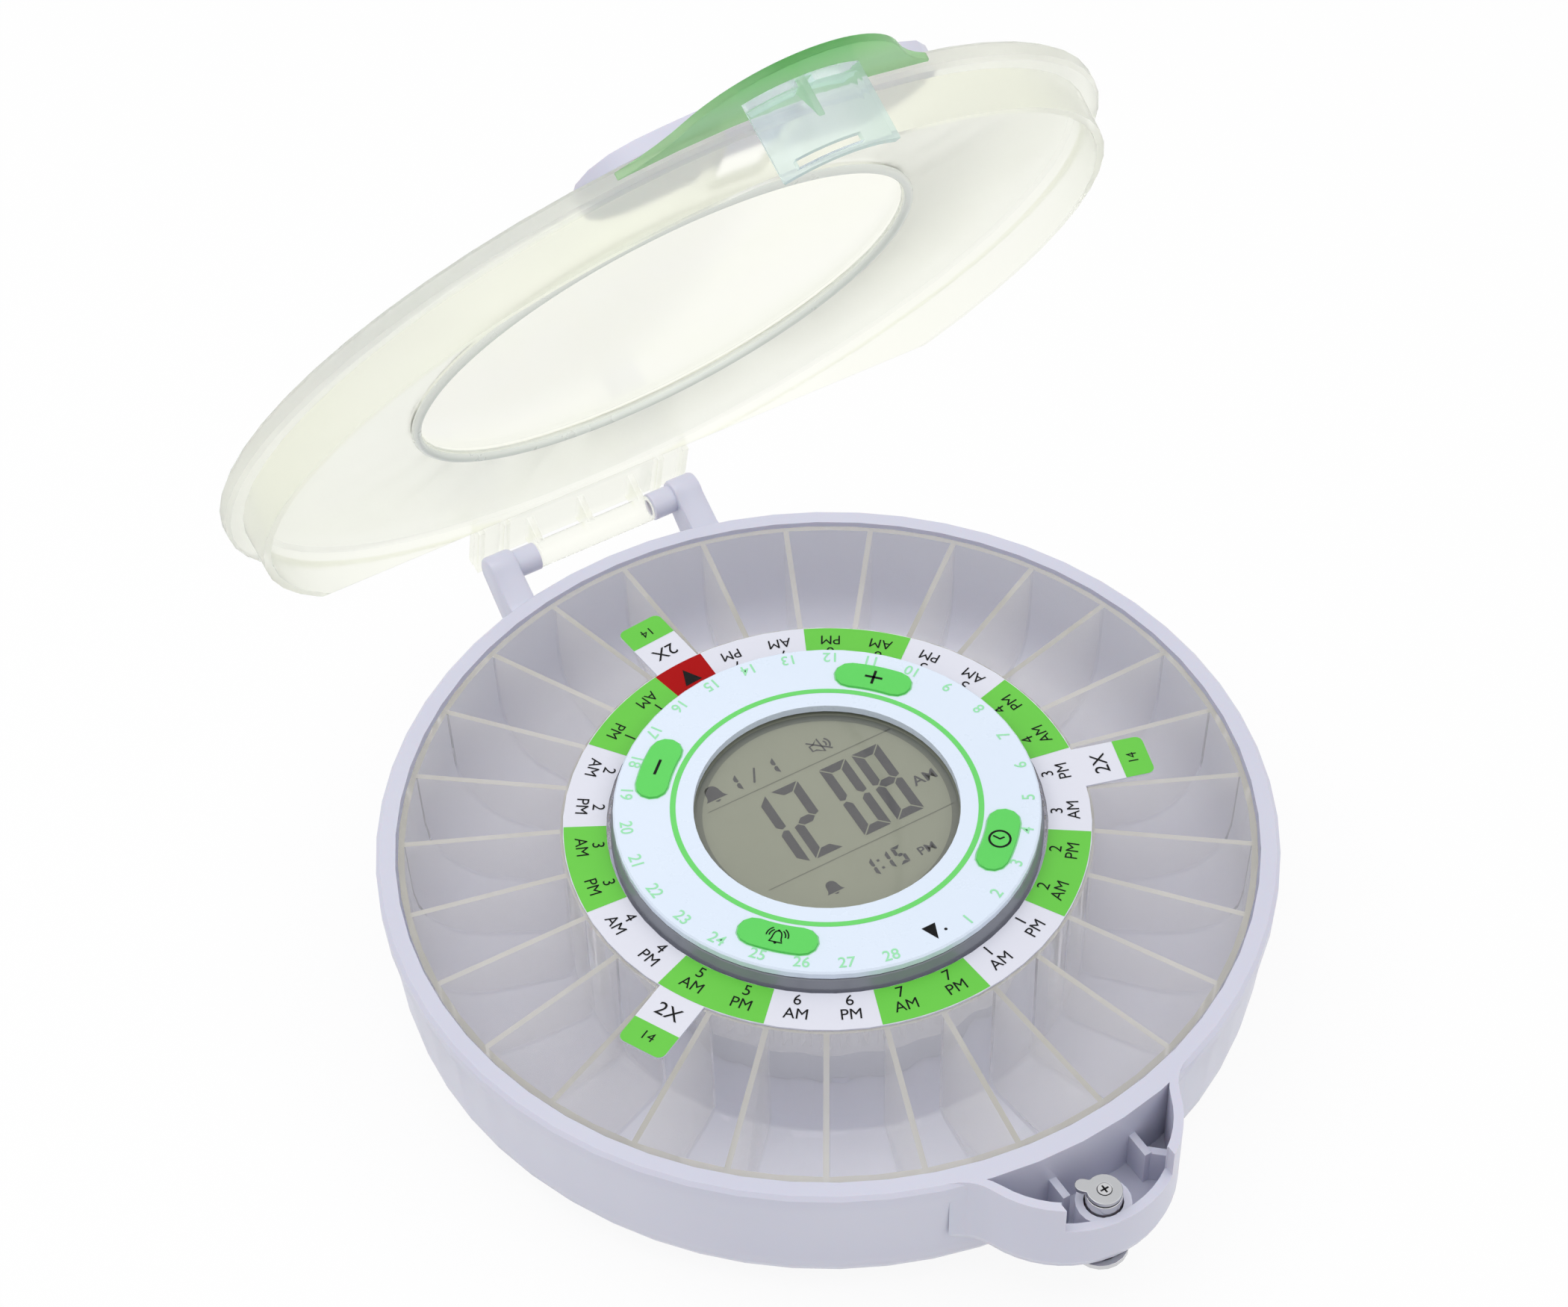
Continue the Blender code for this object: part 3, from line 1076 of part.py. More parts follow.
def lid_bracket():
    """Hinge tongue behind the lid, its ribs, and the barrel with its two trunnions."""
    drop = BRACKET_THICKNESS
    outline = [lid_point(BRACKET_ROOT, BRACKET_ROOT_RISE - drop),
               lid_point(BRACKET_TIP, BRACKET_TIP_RISE - drop),
               lid_point(BRACKET_TIP, BRACKET_TIP_RISE), lid_point(BRACKET_ROOT, BRACKET_ROOT_RISE)]
    made = side_prism("bracket", outline, -BRACKET_HALF_WIDTH, BRACKET_HALF_WIDTH)
    deep = BRACKET_RIB_DEPTH + drop
    for place in BRACKET_RIB_PLACES:
        for side in (-1, 1):
            rib = [lid_point(LID_WALL_RADIUS, BRACKET_ROOT_RISE - deep),
                   lid_point(BRACKET_TIP, BRACKET_TIP_RISE - deep),
                   lid_point(BRACKET_TIP, BRACKET_TIP_RISE - drop / 2),
                   lid_point(LID_WALL_RADIUS, BRACKET_ROOT_RISE - drop)]
            x = side * place
            add(made, side_prism("rib", rib, x - BRACKET_RIB / 2, x + BRACKET_RIB / 2))
    barrel = arc((0, 0), HINGE_BARREL_RADIUS, 0.0, 2 * math.pi, SMALL_STEPS)[:-1]
    add(made, side_prism("barrel", barrel, -BARREL_HALF_LENGTH, BARREL_HALF_LENGTH))
    for place in sorted({side * x for x in BARREL_ARM_PLACES for side in (-1, 1)}):
        inside = HINGE_BARREL_RADIUS - drop / 2
        arm = [(-inside, 0), (inside, 0), lid_point(BRACKET_TIP - drop, BRACKET_TIP_RISE - drop / 2),
               lid_point(LID_FLANGE_RADIUS + drop / 2, BRACKET_ROOT_RISE - drop)]
        add(made, side_prism("arm", arm, place - BRACKET_RIB / 2, place + BRACKET_RIB / 2))
    pin = arc((0, 0), TRUNNION_RADIUS, 0.0, 2 * math.pi, SMALL_STEPS)[:-1]
    return add(made, side_prism("trunnions", pin, -TRUNNION_END, TRUNNION_END))


def lid_shell(surface, parent):
    """Frosted lid with its wall cut away towards the hinge, an outlet and the hinge bracket."""
    made = lid_piece(turned, "lid_shell", lid_shell_profile(), surface)
    low = -LID_FLANGE_BOTTOM
    cut_far = 2 * HINGE_Y
    wedge = [lid_point(LID_CUT_START, 0), lid_point(LID_CUT_START, LID_WALL_FOOT),
             lid_point(LID_CUT_END, LID_CUT_RISE), lid_point(cut_far, LID_CUT_RISE),
             lid_point(cut_far, low), lid_point(LID_CUT_START, low)]
    cut(made, side_prism("arch", wedge, -RIM_RADIUS, RIM_RADIUS))
    outlet = arc((0, 0), OUTLET_OUTER, FRONT - OUTLET_HALF_ANGLE, FRONT + OUTLET_HALF_ANGLE, 3)
    outlet += arc((0, 0), OUTLET_INNER, FRONT + OUTLET_HALF_ANGLE, FRONT - OUTLET_HALF_ANGLE, 3)
    cut(made, lid_piece(prism, "outlet", outlet, LID_FLANGE_BOTTOM, HOOD_TOP))
    add(made, lid_bracket())
    made.parent = parent
    return made


def lid_window(surface, parent):
    """Clear pane seated in the lid's stepped opening."""
    low = LID_REBATE_RISE + GAP
    high = low + PANE_THICKNESS
    profile = [(0, low), (PANE_RADIUS, low), (PANE_RADIUS, high - PANE_BEVEL),
               (PANE_RADIUS - PANE_BEVEL, high), (0, high)]
    return lid_piece(turned, "lid_window", profile, surface, parent=parent)


def lid_nose(surface, parent):
    """Green lobe of the lid over the lock, with a gusset behind the latch plate."""
    outline = lobe_outline(LID_FLANGE_RADIUS, NOSE_CENTRE, NOSE_RADIUS, NOSE_FILLET, 6)
    made = lid_piece(prism, "lid_nose", outline, NOSE_BOTTOM, NOSE_TOP, surface, turn=LOBE_TURN)
    cut(made, lid_piece(ring, "lid flange", 0, LID_FLANGE_RADIUS + GAP, 0, HOOD_TOP))
    half = NOSE_HALF_WIDTH
    keep = lid_piece(block, "keep", (-half, -NOSE_CENTRE - NOSE_RADIUS * 2, 0), (half, 0, HOOD_TOP))
    combine(made, keep, "INTERSECT")
    gusset = [lid_point(-GUSSET_OUTER, GUSSET_LOW), lid_point(-GUSSET_OUTER, NOSE_BOTTOM + GAP),
              lid_point(-GUSSET_INNER, NOSE_BOTTOM + GAP)]
    add(made, side_prism("gusset", gusset, LATCH_SHIFT - GUSSET_HALF, LATCH_SHIFT + GUSSET_HALF))
    made.parent = parent
    return made


def latch_plate(surface, parent):
    """Clear curved plate under the nose with a slot for the lock's cam."""
    centre = (LATCH_SHIFT, -LATCH_CENTRE)
    outer = LATCH_OUTER_RADIUS
    inner = outer - LATCH_THICKNESS
    start = FRONT - LATCH_HALF_ANGLE
    end = FRONT + LATCH_HALF_ANGLE
    top = NOSE_BOTTOM - GAP
    outline = arc(centre, outer, start, end, LATCH_STEPS) + arc(centre, inner, end, start, LATCH_STEPS)
    made = lid_piece(prism, "latch_plate", outline, -LATCH_BOTTOM_DROP, top, surface)
    foot_inner = outer - LATCH_FOOT
    notch = math.asin(GUSSET_HALF * 2 / foot_inner)
    for low, high in ((start, FRONT - notch), (FRONT + notch, end)):
        foot = arc(centre, outer, low, high, LATCH_STEPS // 2)
        foot += arc(centre, foot_inner, high, low, LATCH_STEPS // 2)
        add(made, lid_piece(prism, "foot", foot, top - LATCH_FOOT_THICKNESS, top))
    slot_top = -CAM_TOP_DROP + LATCH_SLOT_CLEARANCE
    slot_low = -CAM_TOP_DROP - CAM_THICKNESS - LATCH_SLOT_CLEARANCE
    slot = lid_piece(block, "slot", (LOCK_X - LATCH_SLOT_HALF, -NOSE_CENTRE - NOSE_RADIUS, slot_low),
                     (LOCK_X + LATCH_SLOT_HALF, -LATCH_CENTRE, slot_top))
    cut(made, slot)
    made.parent = parent
    return made


def lid_top_rise(radius):
    """Height of the lid's crowned top above the rim, carried on past its edges."""
    slope = LID_CROWN / (LID_WALL_RADIUS - LID_REBATE_RADIUS)
    return LID_PLATE_TOP + slope * (LID_WALL_RADIUS - radius)


def outlet_hood(surface, parent):
    """Opaque curved hood over the outlet, open towards the middle of the lid."""
    outline = turned_band(HOOD_RADIUS, HOOD_HALF_WIDTH, HOOD_END_ANGLE, 10, 8, FRONT + HOOD_TURN)
    made = lid_piece(prism, "outlet_hood", outline, LID_FLANGE_BOTTOM, HOOD_TOP, surface)
    crown = lid_top_rise(0)
    wide = 2 * RIM_RADIUS
    under = [(0, 0), (wide, 0), (wide, lid_top_rise(wide) + GAP), (0, crown + GAP)]
    cut(made, lid_piece(turned, "lid top", under))
    channel = lid_piece(block, "channel", (-HOOD_CHANNEL_HALF, -HOOD_CHANNEL_OUTER, LID_FLANGE_BOTTOM),
                        (HOOD_CHANNEL_HALF, -HOOD_CHANNEL_INNER, HOOD_CHANNEL_RISE))
    cut(made, channel)
    made.parent = parent
    return made


def build_base(lavender, door_colour, steel, cell_colour):
    """The bowl and what is fixed under and inside it."""
    base_bowl(lavender)
    battery_door(door_colour)
    screw("battery_door_screw", steel, DOOR_SCREW_LENGTH, (0, -DOOR_SCREW_Y))
    for number in range(1, CELL_COUNT + 1):
        battery_cell(number, cell_colour)
    battery_contact("battery_contact_front", -1, steel)
    battery_contact("battery_contact_back", 1, steel)
    for number, place in enumerate(post_places(), 1):
        screw("housing_screw_%d" % number, steel, HOUSING_SCREW_LENGTH, place)


def build_control(colours):
    """The centre housing with the display, board, keys and switches."""
    control_housing(colours["housing"])
    bezel_ring(colours["bezel"])
    faceplate(colours["face"])
    lens_low = above_rim(LENS_BOTTOM_RISE)
    ring("display_lens", 0, LENS_RADIUS, lens_low, above_rim(LENS_TOP_RISE), colours["lens"], FINE_STEPS)
    panel_high = lens_low - GAP
    ring("lcd_panel", 0, PANEL_RADIUS, panel_high - PANEL_THICKNESS, panel_high, colours["lcd"], FINE_STEPS)
    holder_high = panel_high - PANEL_THICKNESS - GAP
    ring("lcd_holder", HOLDER_INNER_RADIUS, HOLDER_RADIUS, BOARD_TOP + GAP, holder_high, colours["housing"],
         FINE_STEPS)
    ring("circuit_board", 0, BOARD_RADIUS, BOARD_BOTTOM, BOARD_TOP, colours["board"], FINE_STEPS)
    buzzer_high = BOARD_BOTTOM - GAP
    ring("buzzer", 0, BUZZER_RADIUS, buzzer_high - BUZZER_HEIGHT, buzzer_high, colours["black"], SMALL_STEPS,
         location=(-BUZZER_PLACE, 0, 0))
    names = ("clock", "plus", "minus", "bell")
    for quarter, name in enumerate(names):
        centre = FRONT / 2 + BUTTON_TURN + quarter * BACK
        key_button("button_" + name, centre, colours["key"])
        key_switch("switch_" + name, centre, colours["black"])
    gearmotor(colours["steel"])


def build_lid(colours):
    """The open lid, every piece carried by one empty on the hinge axis."""
    hinge = empty("lid_hinge_axis", (0, HINGE_Y, HINGE_Z), (-LID_OPEN_ANGLE, 0.0, 0.0))
    lid_shell(colours["frosted"], hinge)
    lid_window(colours["clear"], hinge)
    lid_nose(colours["green"], hinge)
    latch_plate(colours["clear"], hinge)
    outlet_hood(colours["lavender"], hinge)


def main():
    """Builds the whole dispenser."""
    clear_scene()
    colours = {
        "lavender": material("lavender plastic", (0.68, 0.69, 0.80), 0.35),
        "housing": material("pale grey plastic", (0.62, 0.63, 0.68), 0.45),
        "bezel": material("grey side ring", (0.22, 0.23, 0.26), 0.30),
        "face": material("white face", (0.72, 0.80, 0.92), 0.25),
        "key": material("green key", (0.12, 0.70, 0.12), 0.40),
        "lens": material("clear lens", (0.90, 0.93, 0.92), 0.05, alpha=0.25),
        "lcd": material("display glass", (0.26, 0.27, 0.19), 0.20),
        "board": material("circuit board", (0.03, 0.20, 0.08), 0.50),
        "black": material("black plastic", (0.02, 0.02, 0.02), 0.45),
        "steel": material("plated steel", (0.70, 0.70, 0.71), 0.25, metallic=1.0),
        "tray": material("clear tray plastic", (0.86, 0.84, 0.76), 0.10, alpha=0.35),
        "label": material("printed label", (0.82, 0.81, 0.87), 0.50),
        "frosted": material("frosted lid plastic", (0.84, 0.87, 0.78), 0.35, alpha=0.55),
        "clear": material("clear lid plastic", (0.92, 0.97, 0.93), 0.08, alpha=0.30),
        "green": material("green clear plastic", (0.10, 0.50, 0.08), 0.20, alpha=0.60),
        "cell": material("battery jacket", (0.10, 0.10, 0.12), 0.35),
        "gear": material("white gear plastic", (0.80, 0.80, 0.78), 0.40),
    }
    build_base(colours["lavender"], colours["lavender"], colours["steel"], colours["cell"])
    build_control(colours)
    carousel = empty("tray_axis", (0, 0, 0), (0.0, 0.0, TRAY_REST_ANGLE))
    tray(colours["tray"], carousel)
    label_disc(colours["label"], carousel)
    gear_axis = empty("drive_axis", (0, GEAR_DISTANCE, 0))
    drive_gear(colours["gear"], gear_axis)
    lock_body(colours["steel"])
    lock_axis = empty("lock_axis", (LOCK_X, -LOCK_DISTANCE, 0))
    lock_plug(colours["steel"], lock_axis)
    lock_cam(colours["steel"], lock_axis)
    cam_screw(colours["steel"], lock_axis)
    build_lid(colours)


main()
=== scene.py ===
"""Looks of a carousel pill box with a clock unit, a turning dose tray and an open frosted lid.

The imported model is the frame. Each sub-assembly is a class that dresses its pieces, and each
finish is a small class of its own. Metres, +Z up, -Y towards the lock and +Y towards the hinge.
"""

import logging
import math
from dataclasses import dataclass
from enum import Enum

import bmesh
import bpy
import numpy as np
from bpy.types import Material, Mesh, Node, NodeSocket, NodeTree, Object
from mathutils import Euler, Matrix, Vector


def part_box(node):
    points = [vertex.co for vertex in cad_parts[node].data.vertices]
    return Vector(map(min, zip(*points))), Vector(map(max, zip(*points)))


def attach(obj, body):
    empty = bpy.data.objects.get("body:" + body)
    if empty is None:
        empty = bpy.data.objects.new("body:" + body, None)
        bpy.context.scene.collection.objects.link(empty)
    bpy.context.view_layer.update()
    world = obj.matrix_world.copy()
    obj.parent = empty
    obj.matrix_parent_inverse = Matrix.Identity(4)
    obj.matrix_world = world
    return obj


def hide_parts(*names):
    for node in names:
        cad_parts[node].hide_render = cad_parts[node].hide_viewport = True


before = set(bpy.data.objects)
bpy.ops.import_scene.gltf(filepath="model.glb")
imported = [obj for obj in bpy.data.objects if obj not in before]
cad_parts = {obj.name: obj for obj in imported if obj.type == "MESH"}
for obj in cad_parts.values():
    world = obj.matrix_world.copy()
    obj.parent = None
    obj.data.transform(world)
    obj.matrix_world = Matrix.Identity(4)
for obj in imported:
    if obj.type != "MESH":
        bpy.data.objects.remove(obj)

LOG = logging.getLogger("pill_box")

# Driving sizes, read from the frame where it holds them
FACE_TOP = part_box("faceplate")[1].z
FACE_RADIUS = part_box("faceplate")[1].x
LABEL_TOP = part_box("label_disc")[1].z
PANEL_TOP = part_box("lcd_panel")[1].z
RING_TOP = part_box("bezel_ring")[1].z
TRAY_MIDDLE = (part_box("tray")[0].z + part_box("tray")[1].z) / 2
NOSE_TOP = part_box("lid_nose")[1].z
NOSE_MIDDLE = (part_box("lid_nose")[0].z + NOSE_TOP) / 2
INK = 0.00004
TURN = 2 * math.pi
DIVISIONS = 29
PITCH = TURN / DIVISIONS
FRONT = -math.pi / 2

# How copies of the frame's nodes are cleaned, shaded and rounded, and how fine letters are
MERGE = 0.000002
FLAT = math.radians(0.3)
SHARP = math.radians(34)
EDGE_STEPS = 2
LETTER_STEPS = 4

WHITE = (1.0, 1.0, 1.0, 1.0)
Screen = tuple[int, int, int]


class Body(Enum):
    """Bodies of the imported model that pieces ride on."""

    BASE = "base"
    TRAY = "tray"
    DRIVE = "drive"
    LID = "lid"
    LOCK = "lock_core"
    KEY_BELL = "key_bell"
    KEY_CLOCK = "key_clock"
    KEY_MINUS = "key_minus"
    KEY_PLUS = "key_plus"


class Socket(Enum):
    """Kinds of socket on the shared shader groups."""

    COLOUR = "NodeSocketColor"
    NUMBER = "NodeSocketFloat"
    VECTOR = "NodeSocketVector"


def tone(screen: Screen) -> tuple[float, float, float, float]:
    """Turns a colour judged on a screen into linear shader values.

    A share of full value up to 0.04045 is divided by 12.92. A larger one gets 0.055 added, is
    divided by 1.055 and raised to the power 2.4.

    Args:
        screen: red, green and blue from 0 to 255.

    Returns:
        The linear red, green and blue, and a full alpha.
    """
    share = np.array(screen) / 255
    linear = np.where(share <= 0.04045, share / 12.92, ((share + 0.055) / 1.055) ** 2.4)
    return (*linear.tolist(), 1.0)


def feed(tree: NodeTree, node: Node, inputs: dict) -> Node:
    """Wires a socket to each given input of a node, or sets a constant there.

    Args:
        tree: the node tree.
        node: the node.
        inputs: a socket or a constant for each input, by its name or number.

    Returns:
        The same node.
    """
    for name, value in inputs.items():
        if isinstance(value, NodeSocket):
            tree.links.new(value, node.inputs[name])
        else:
            node.inputs[name].default_value = value
    return node


def add_node(tree: NodeTree, kind: str, inputs: dict, **settings: object) -> Node:
    """Adds a shader node, makes its settings and then feeds its inputs.

    Args:
        tree: the node tree.
        kind: type of the node, without the leading ShaderNode.
        inputs: a socket or a constant for each input, by its name or number.
        **settings: the node's own settings by name.

    Returns:
        The node.
    """
    node = tree.nodes.new("ShaderNode" + kind)
    for name, value in settings.items():
        setattr(node, name, value)
    return feed(tree, node, inputs)


def mix_colours(tree: NodeTree, share: NodeSocket, first: NodeSocket,
                second: NodeSocket | tuple) -> NodeSocket:
    """Mixes two colours.

    Args:
        tree: the node tree.
        share: socket with the share of the second colour.
        first: socket with the first colour.
        second: socket with the second colour, or the colour itself.

    Returns:
        The socket with the mixed colour.
    """
    mix = add_node(tree, "Mix", {"Factor": share, "A": first, "B": second}, data_type="RGBA")
    return mix.outputs["Result"]


def group_tree(name: str, inputs: list[tuple], output: tuple) -> tuple:
    """Starts a shader node group with named sockets.

    Args:
        name: name of the group.
        inputs: name, kind and default value of each input.
        output: name and kind of the output.

    Returns:
        The tree, the sockets that its inputs give, and its output node.
    """
    tree = bpy.data.node_groups.new(name, "ShaderNodeTree")
    for label, kind, value in inputs:
        socket = tree.interface.new_socket(name=label, in_out="INPUT", socket_type=kind.value)
        if value is not None:
            socket.default_value = value
    label, kind = output
    tree.interface.new_socket(name=label, in_out="OUTPUT", socket_type=kind.value)
    return tree, tree.nodes.new("NodeGroupInput").outputs, tree.nodes.new("NodeGroupOutput")


def build_tint_group() -> NodeTree:
    """Group that drifts a colour softly towards a second one over the surface.

    Returns:
        The group, with Vector, Base, Drift, Amount and Scale in and Color out.
    """
    tree, given, end = group_tree("colour drift", [
        ("Vector", Socket.VECTOR, None), ("Base", Socket.COLOUR, WHITE), ("Drift", Socket.COLOUR, WHITE),
        ("Amount", Socket.NUMBER, 0.5), ("Scale", Socket.NUMBER, 30.0)], ("Color", Socket.COLOUR))
    noise = add_node(tree, "TexNoise", {"Vector": given["Vector"], "Scale": given["Scale"],
                                        "Detail": 3.0})
    spread = add_node(tree, "MapRange", {"Value": noise.outputs["Fac"], "From Min": 0.35,
                                         "From Max": 0.65, "To Max": given["Amount"]})
    mixed = mix_colours(tree, spread.outputs["Result"], given["Base"], given["Drift"])
    feed(tree, end, {"Color": mixed})
    return tree


def build_wear_group() -> NodeTree:
    """Group for fine scuffs that make a roughness rise and fall over the surface.

    Returns:
        The group, with Vector, Roughness, Spread and Scale in and Roughness out.
    """
    tree, given, end = group_tree("handling wear", [
        ("Vector", Socket.VECTOR, None), ("Roughness", Socket.NUMBER, 0.3),
        ("Spread", Socket.NUMBER, 0.08), ("Scale", Socket.NUMBER, 60.0)], ("Roughness", Socket.NUMBER))
    noise = add_node(tree, "TexNoise", {"Vector": given["Vector"], "Scale": given["Scale"],
                                        "Detail": 5.0, "Roughness": 0.65})
    centred = add_node(tree, "Math", {0: noise.outputs["Fac"], 1: 0.5}, operation="SUBTRACT")
    scaled = add_node(tree, "Math", {0: centred.outputs["Value"], 1: given["Spread"],
                                     2: given["Roughness"]}, operation="MULTIPLY_ADD", use_clamp=True)
    feed(tree, end, {"Roughness": scaled.outputs["Value"]})
    return tree


def build_grain_group() -> NodeTree:
    """Group for the fine orange-peel grain of a moulded surface, given as a normal.

    Returns:
        The group, with Vector, Scale, Depth and Strength in and Normal out.
    """
    tree, given, end = group_tree("moulded grain", [
        ("Vector", Socket.VECTOR, None), ("Scale", Socket.NUMBER, 900.0),
        ("Depth", Socket.NUMBER, 0.00005), ("Strength", Socket.NUMBER, 0.2)], ("Normal", Socket.VECTOR))
    noise = add_node(tree, "TexNoise", {"Vector": given["Vector"], "Scale": given["Scale"],
                                        "Detail": 2.0})
    bump = add_node(tree, "Bump", {"Height": noise.outputs["Fac"], "Distance": given["Depth"],
                                   "Strength": given["Strength"]})
    feed(tree, end, {"Normal": bump.outputs["Normal"]})
    return tree


TINT = build_tint_group()
WEAR = build_wear_group()
GRAIN = build_grain_group()


@dataclass(frozen=True)
class Finish:
    """Moulded, printed or plated finish with colour drift, wear and grain.

    The first four fields are its name, its colour, the colour it drifts to and its roughness.
    """

    name: str
    colour: Screen
    drift: Screen
    roughness: float
    spread: float = 0.10
    drift_amount: float = 0.5
    drift_scale: float = 25.0
    wear_scale: float = 80.0
    metallic: float = 0.0
    grain: float = 0.15
    grain_scale: float = 900.0
    grain_depth: float = 0.00005
    ior: float = 1.5
    coat: float = 0.0
    coat_roughness: float = 0.1
    subsurface: float = 0.0
    subsurface_scale: float = 0.003
    transmission: float = 0.0
    slant_colour: Screen | None = None
    slant_blend: float = 0.35
    # colour and levels of painted shade, deeper towards the top
    fade_colour: Screen | None = None
    fade_low: float = 0.0
    fade_high: float = 1.0

    def build(self) -> Material:
        """Makes the material.

        Returns:
            The material, with a Principled shader fed by the shared groups.
        """
        made = bpy.data.materials.new(self.name)
        made.use_nodes = True
        tree = made.node_tree
        place = add_node(tree, "TexCoord", {}).outputs["Object"]
        tint = add_node(tree, "Group", {
            "Vector": place, "Base": tone(self.colour), "Drift": tone(self.drift),
            "Amount": self.drift_amount, "Scale": self.drift_scale}, node_tree=TINT)
        wear = add_node(tree, "Group", {
            "Vector": place, "Roughness": self.roughness, "Spread": self.spread,
            "Scale": self.wear_scale}, node_tree=WEAR)
        grain = add_node(tree, "Group", {
            "Vector": place, "Scale": self.grain_scale, "Depth": self.grain_depth,
            "Strength": self.grain}, node_tree=GRAIN)
        colour = tint.outputs["Color"]
        # painted shade, darker towards the top
        if self.fade_colour:
            colour = self.add_fade(tree, colour, place)
        if self.slant_colour:
            colour = self.add_slant(tree, colour)
        shader = feed(tree, tree.nodes["Principled BSDF"], {
            "Base Color": colour, "Roughness": wear.outputs["Roughness"],
            "Normal": grain.outputs["Normal"], "Metallic": self.metallic, "IOR": self.ior,
            "Coat Weight": self.coat, "Coat Roughness": self.coat_roughness,
            "Transmission Weight": self.transmission})
        if self.subsurface:
            feed(tree, shader, {"Subsurface Weight": self.subsurface,
                                "Subsurface Scale": self.subsurface_scale})
        return made

    def add_fade(self, tree: NodeTree, colour: NodeSocket, place: NodeSocket) -> NodeSocket:
        """Paints shade on a wall: turns it towards a deeper colour between a low and a high level, so it
        is darker towards the top.

        Args:
            tree: the material's node tree.
            colour: the socket with the wall's own colour.
            place: the socket with the surface's own coordinates.

        Returns:
            The socket with the mixed colour.
        """
        split = add_node(tree, "SeparateXYZ", {"Vector": place})
        level = add_node(tree, "MapRange", {"Value": split.outputs["Z"], "From Min": self.fade_low,
                                            "From Max": self.fade_high})
        return mix_colours(tree, level.outputs["Result"], colour, tone(self.fade_colour))

    def add_slant(self, tree: NodeTree, colour: NodeSocket) -> NodeSocket:
        """Turns a clear wall towards its edge colour where it is seen at a slant."""
        slant = add_node(tree, "LayerWeight", {"Blend": self.slant_blend})
        return mix_colours(tree, slant.outputs["Facing"], colour, tone(self.slant_colour))


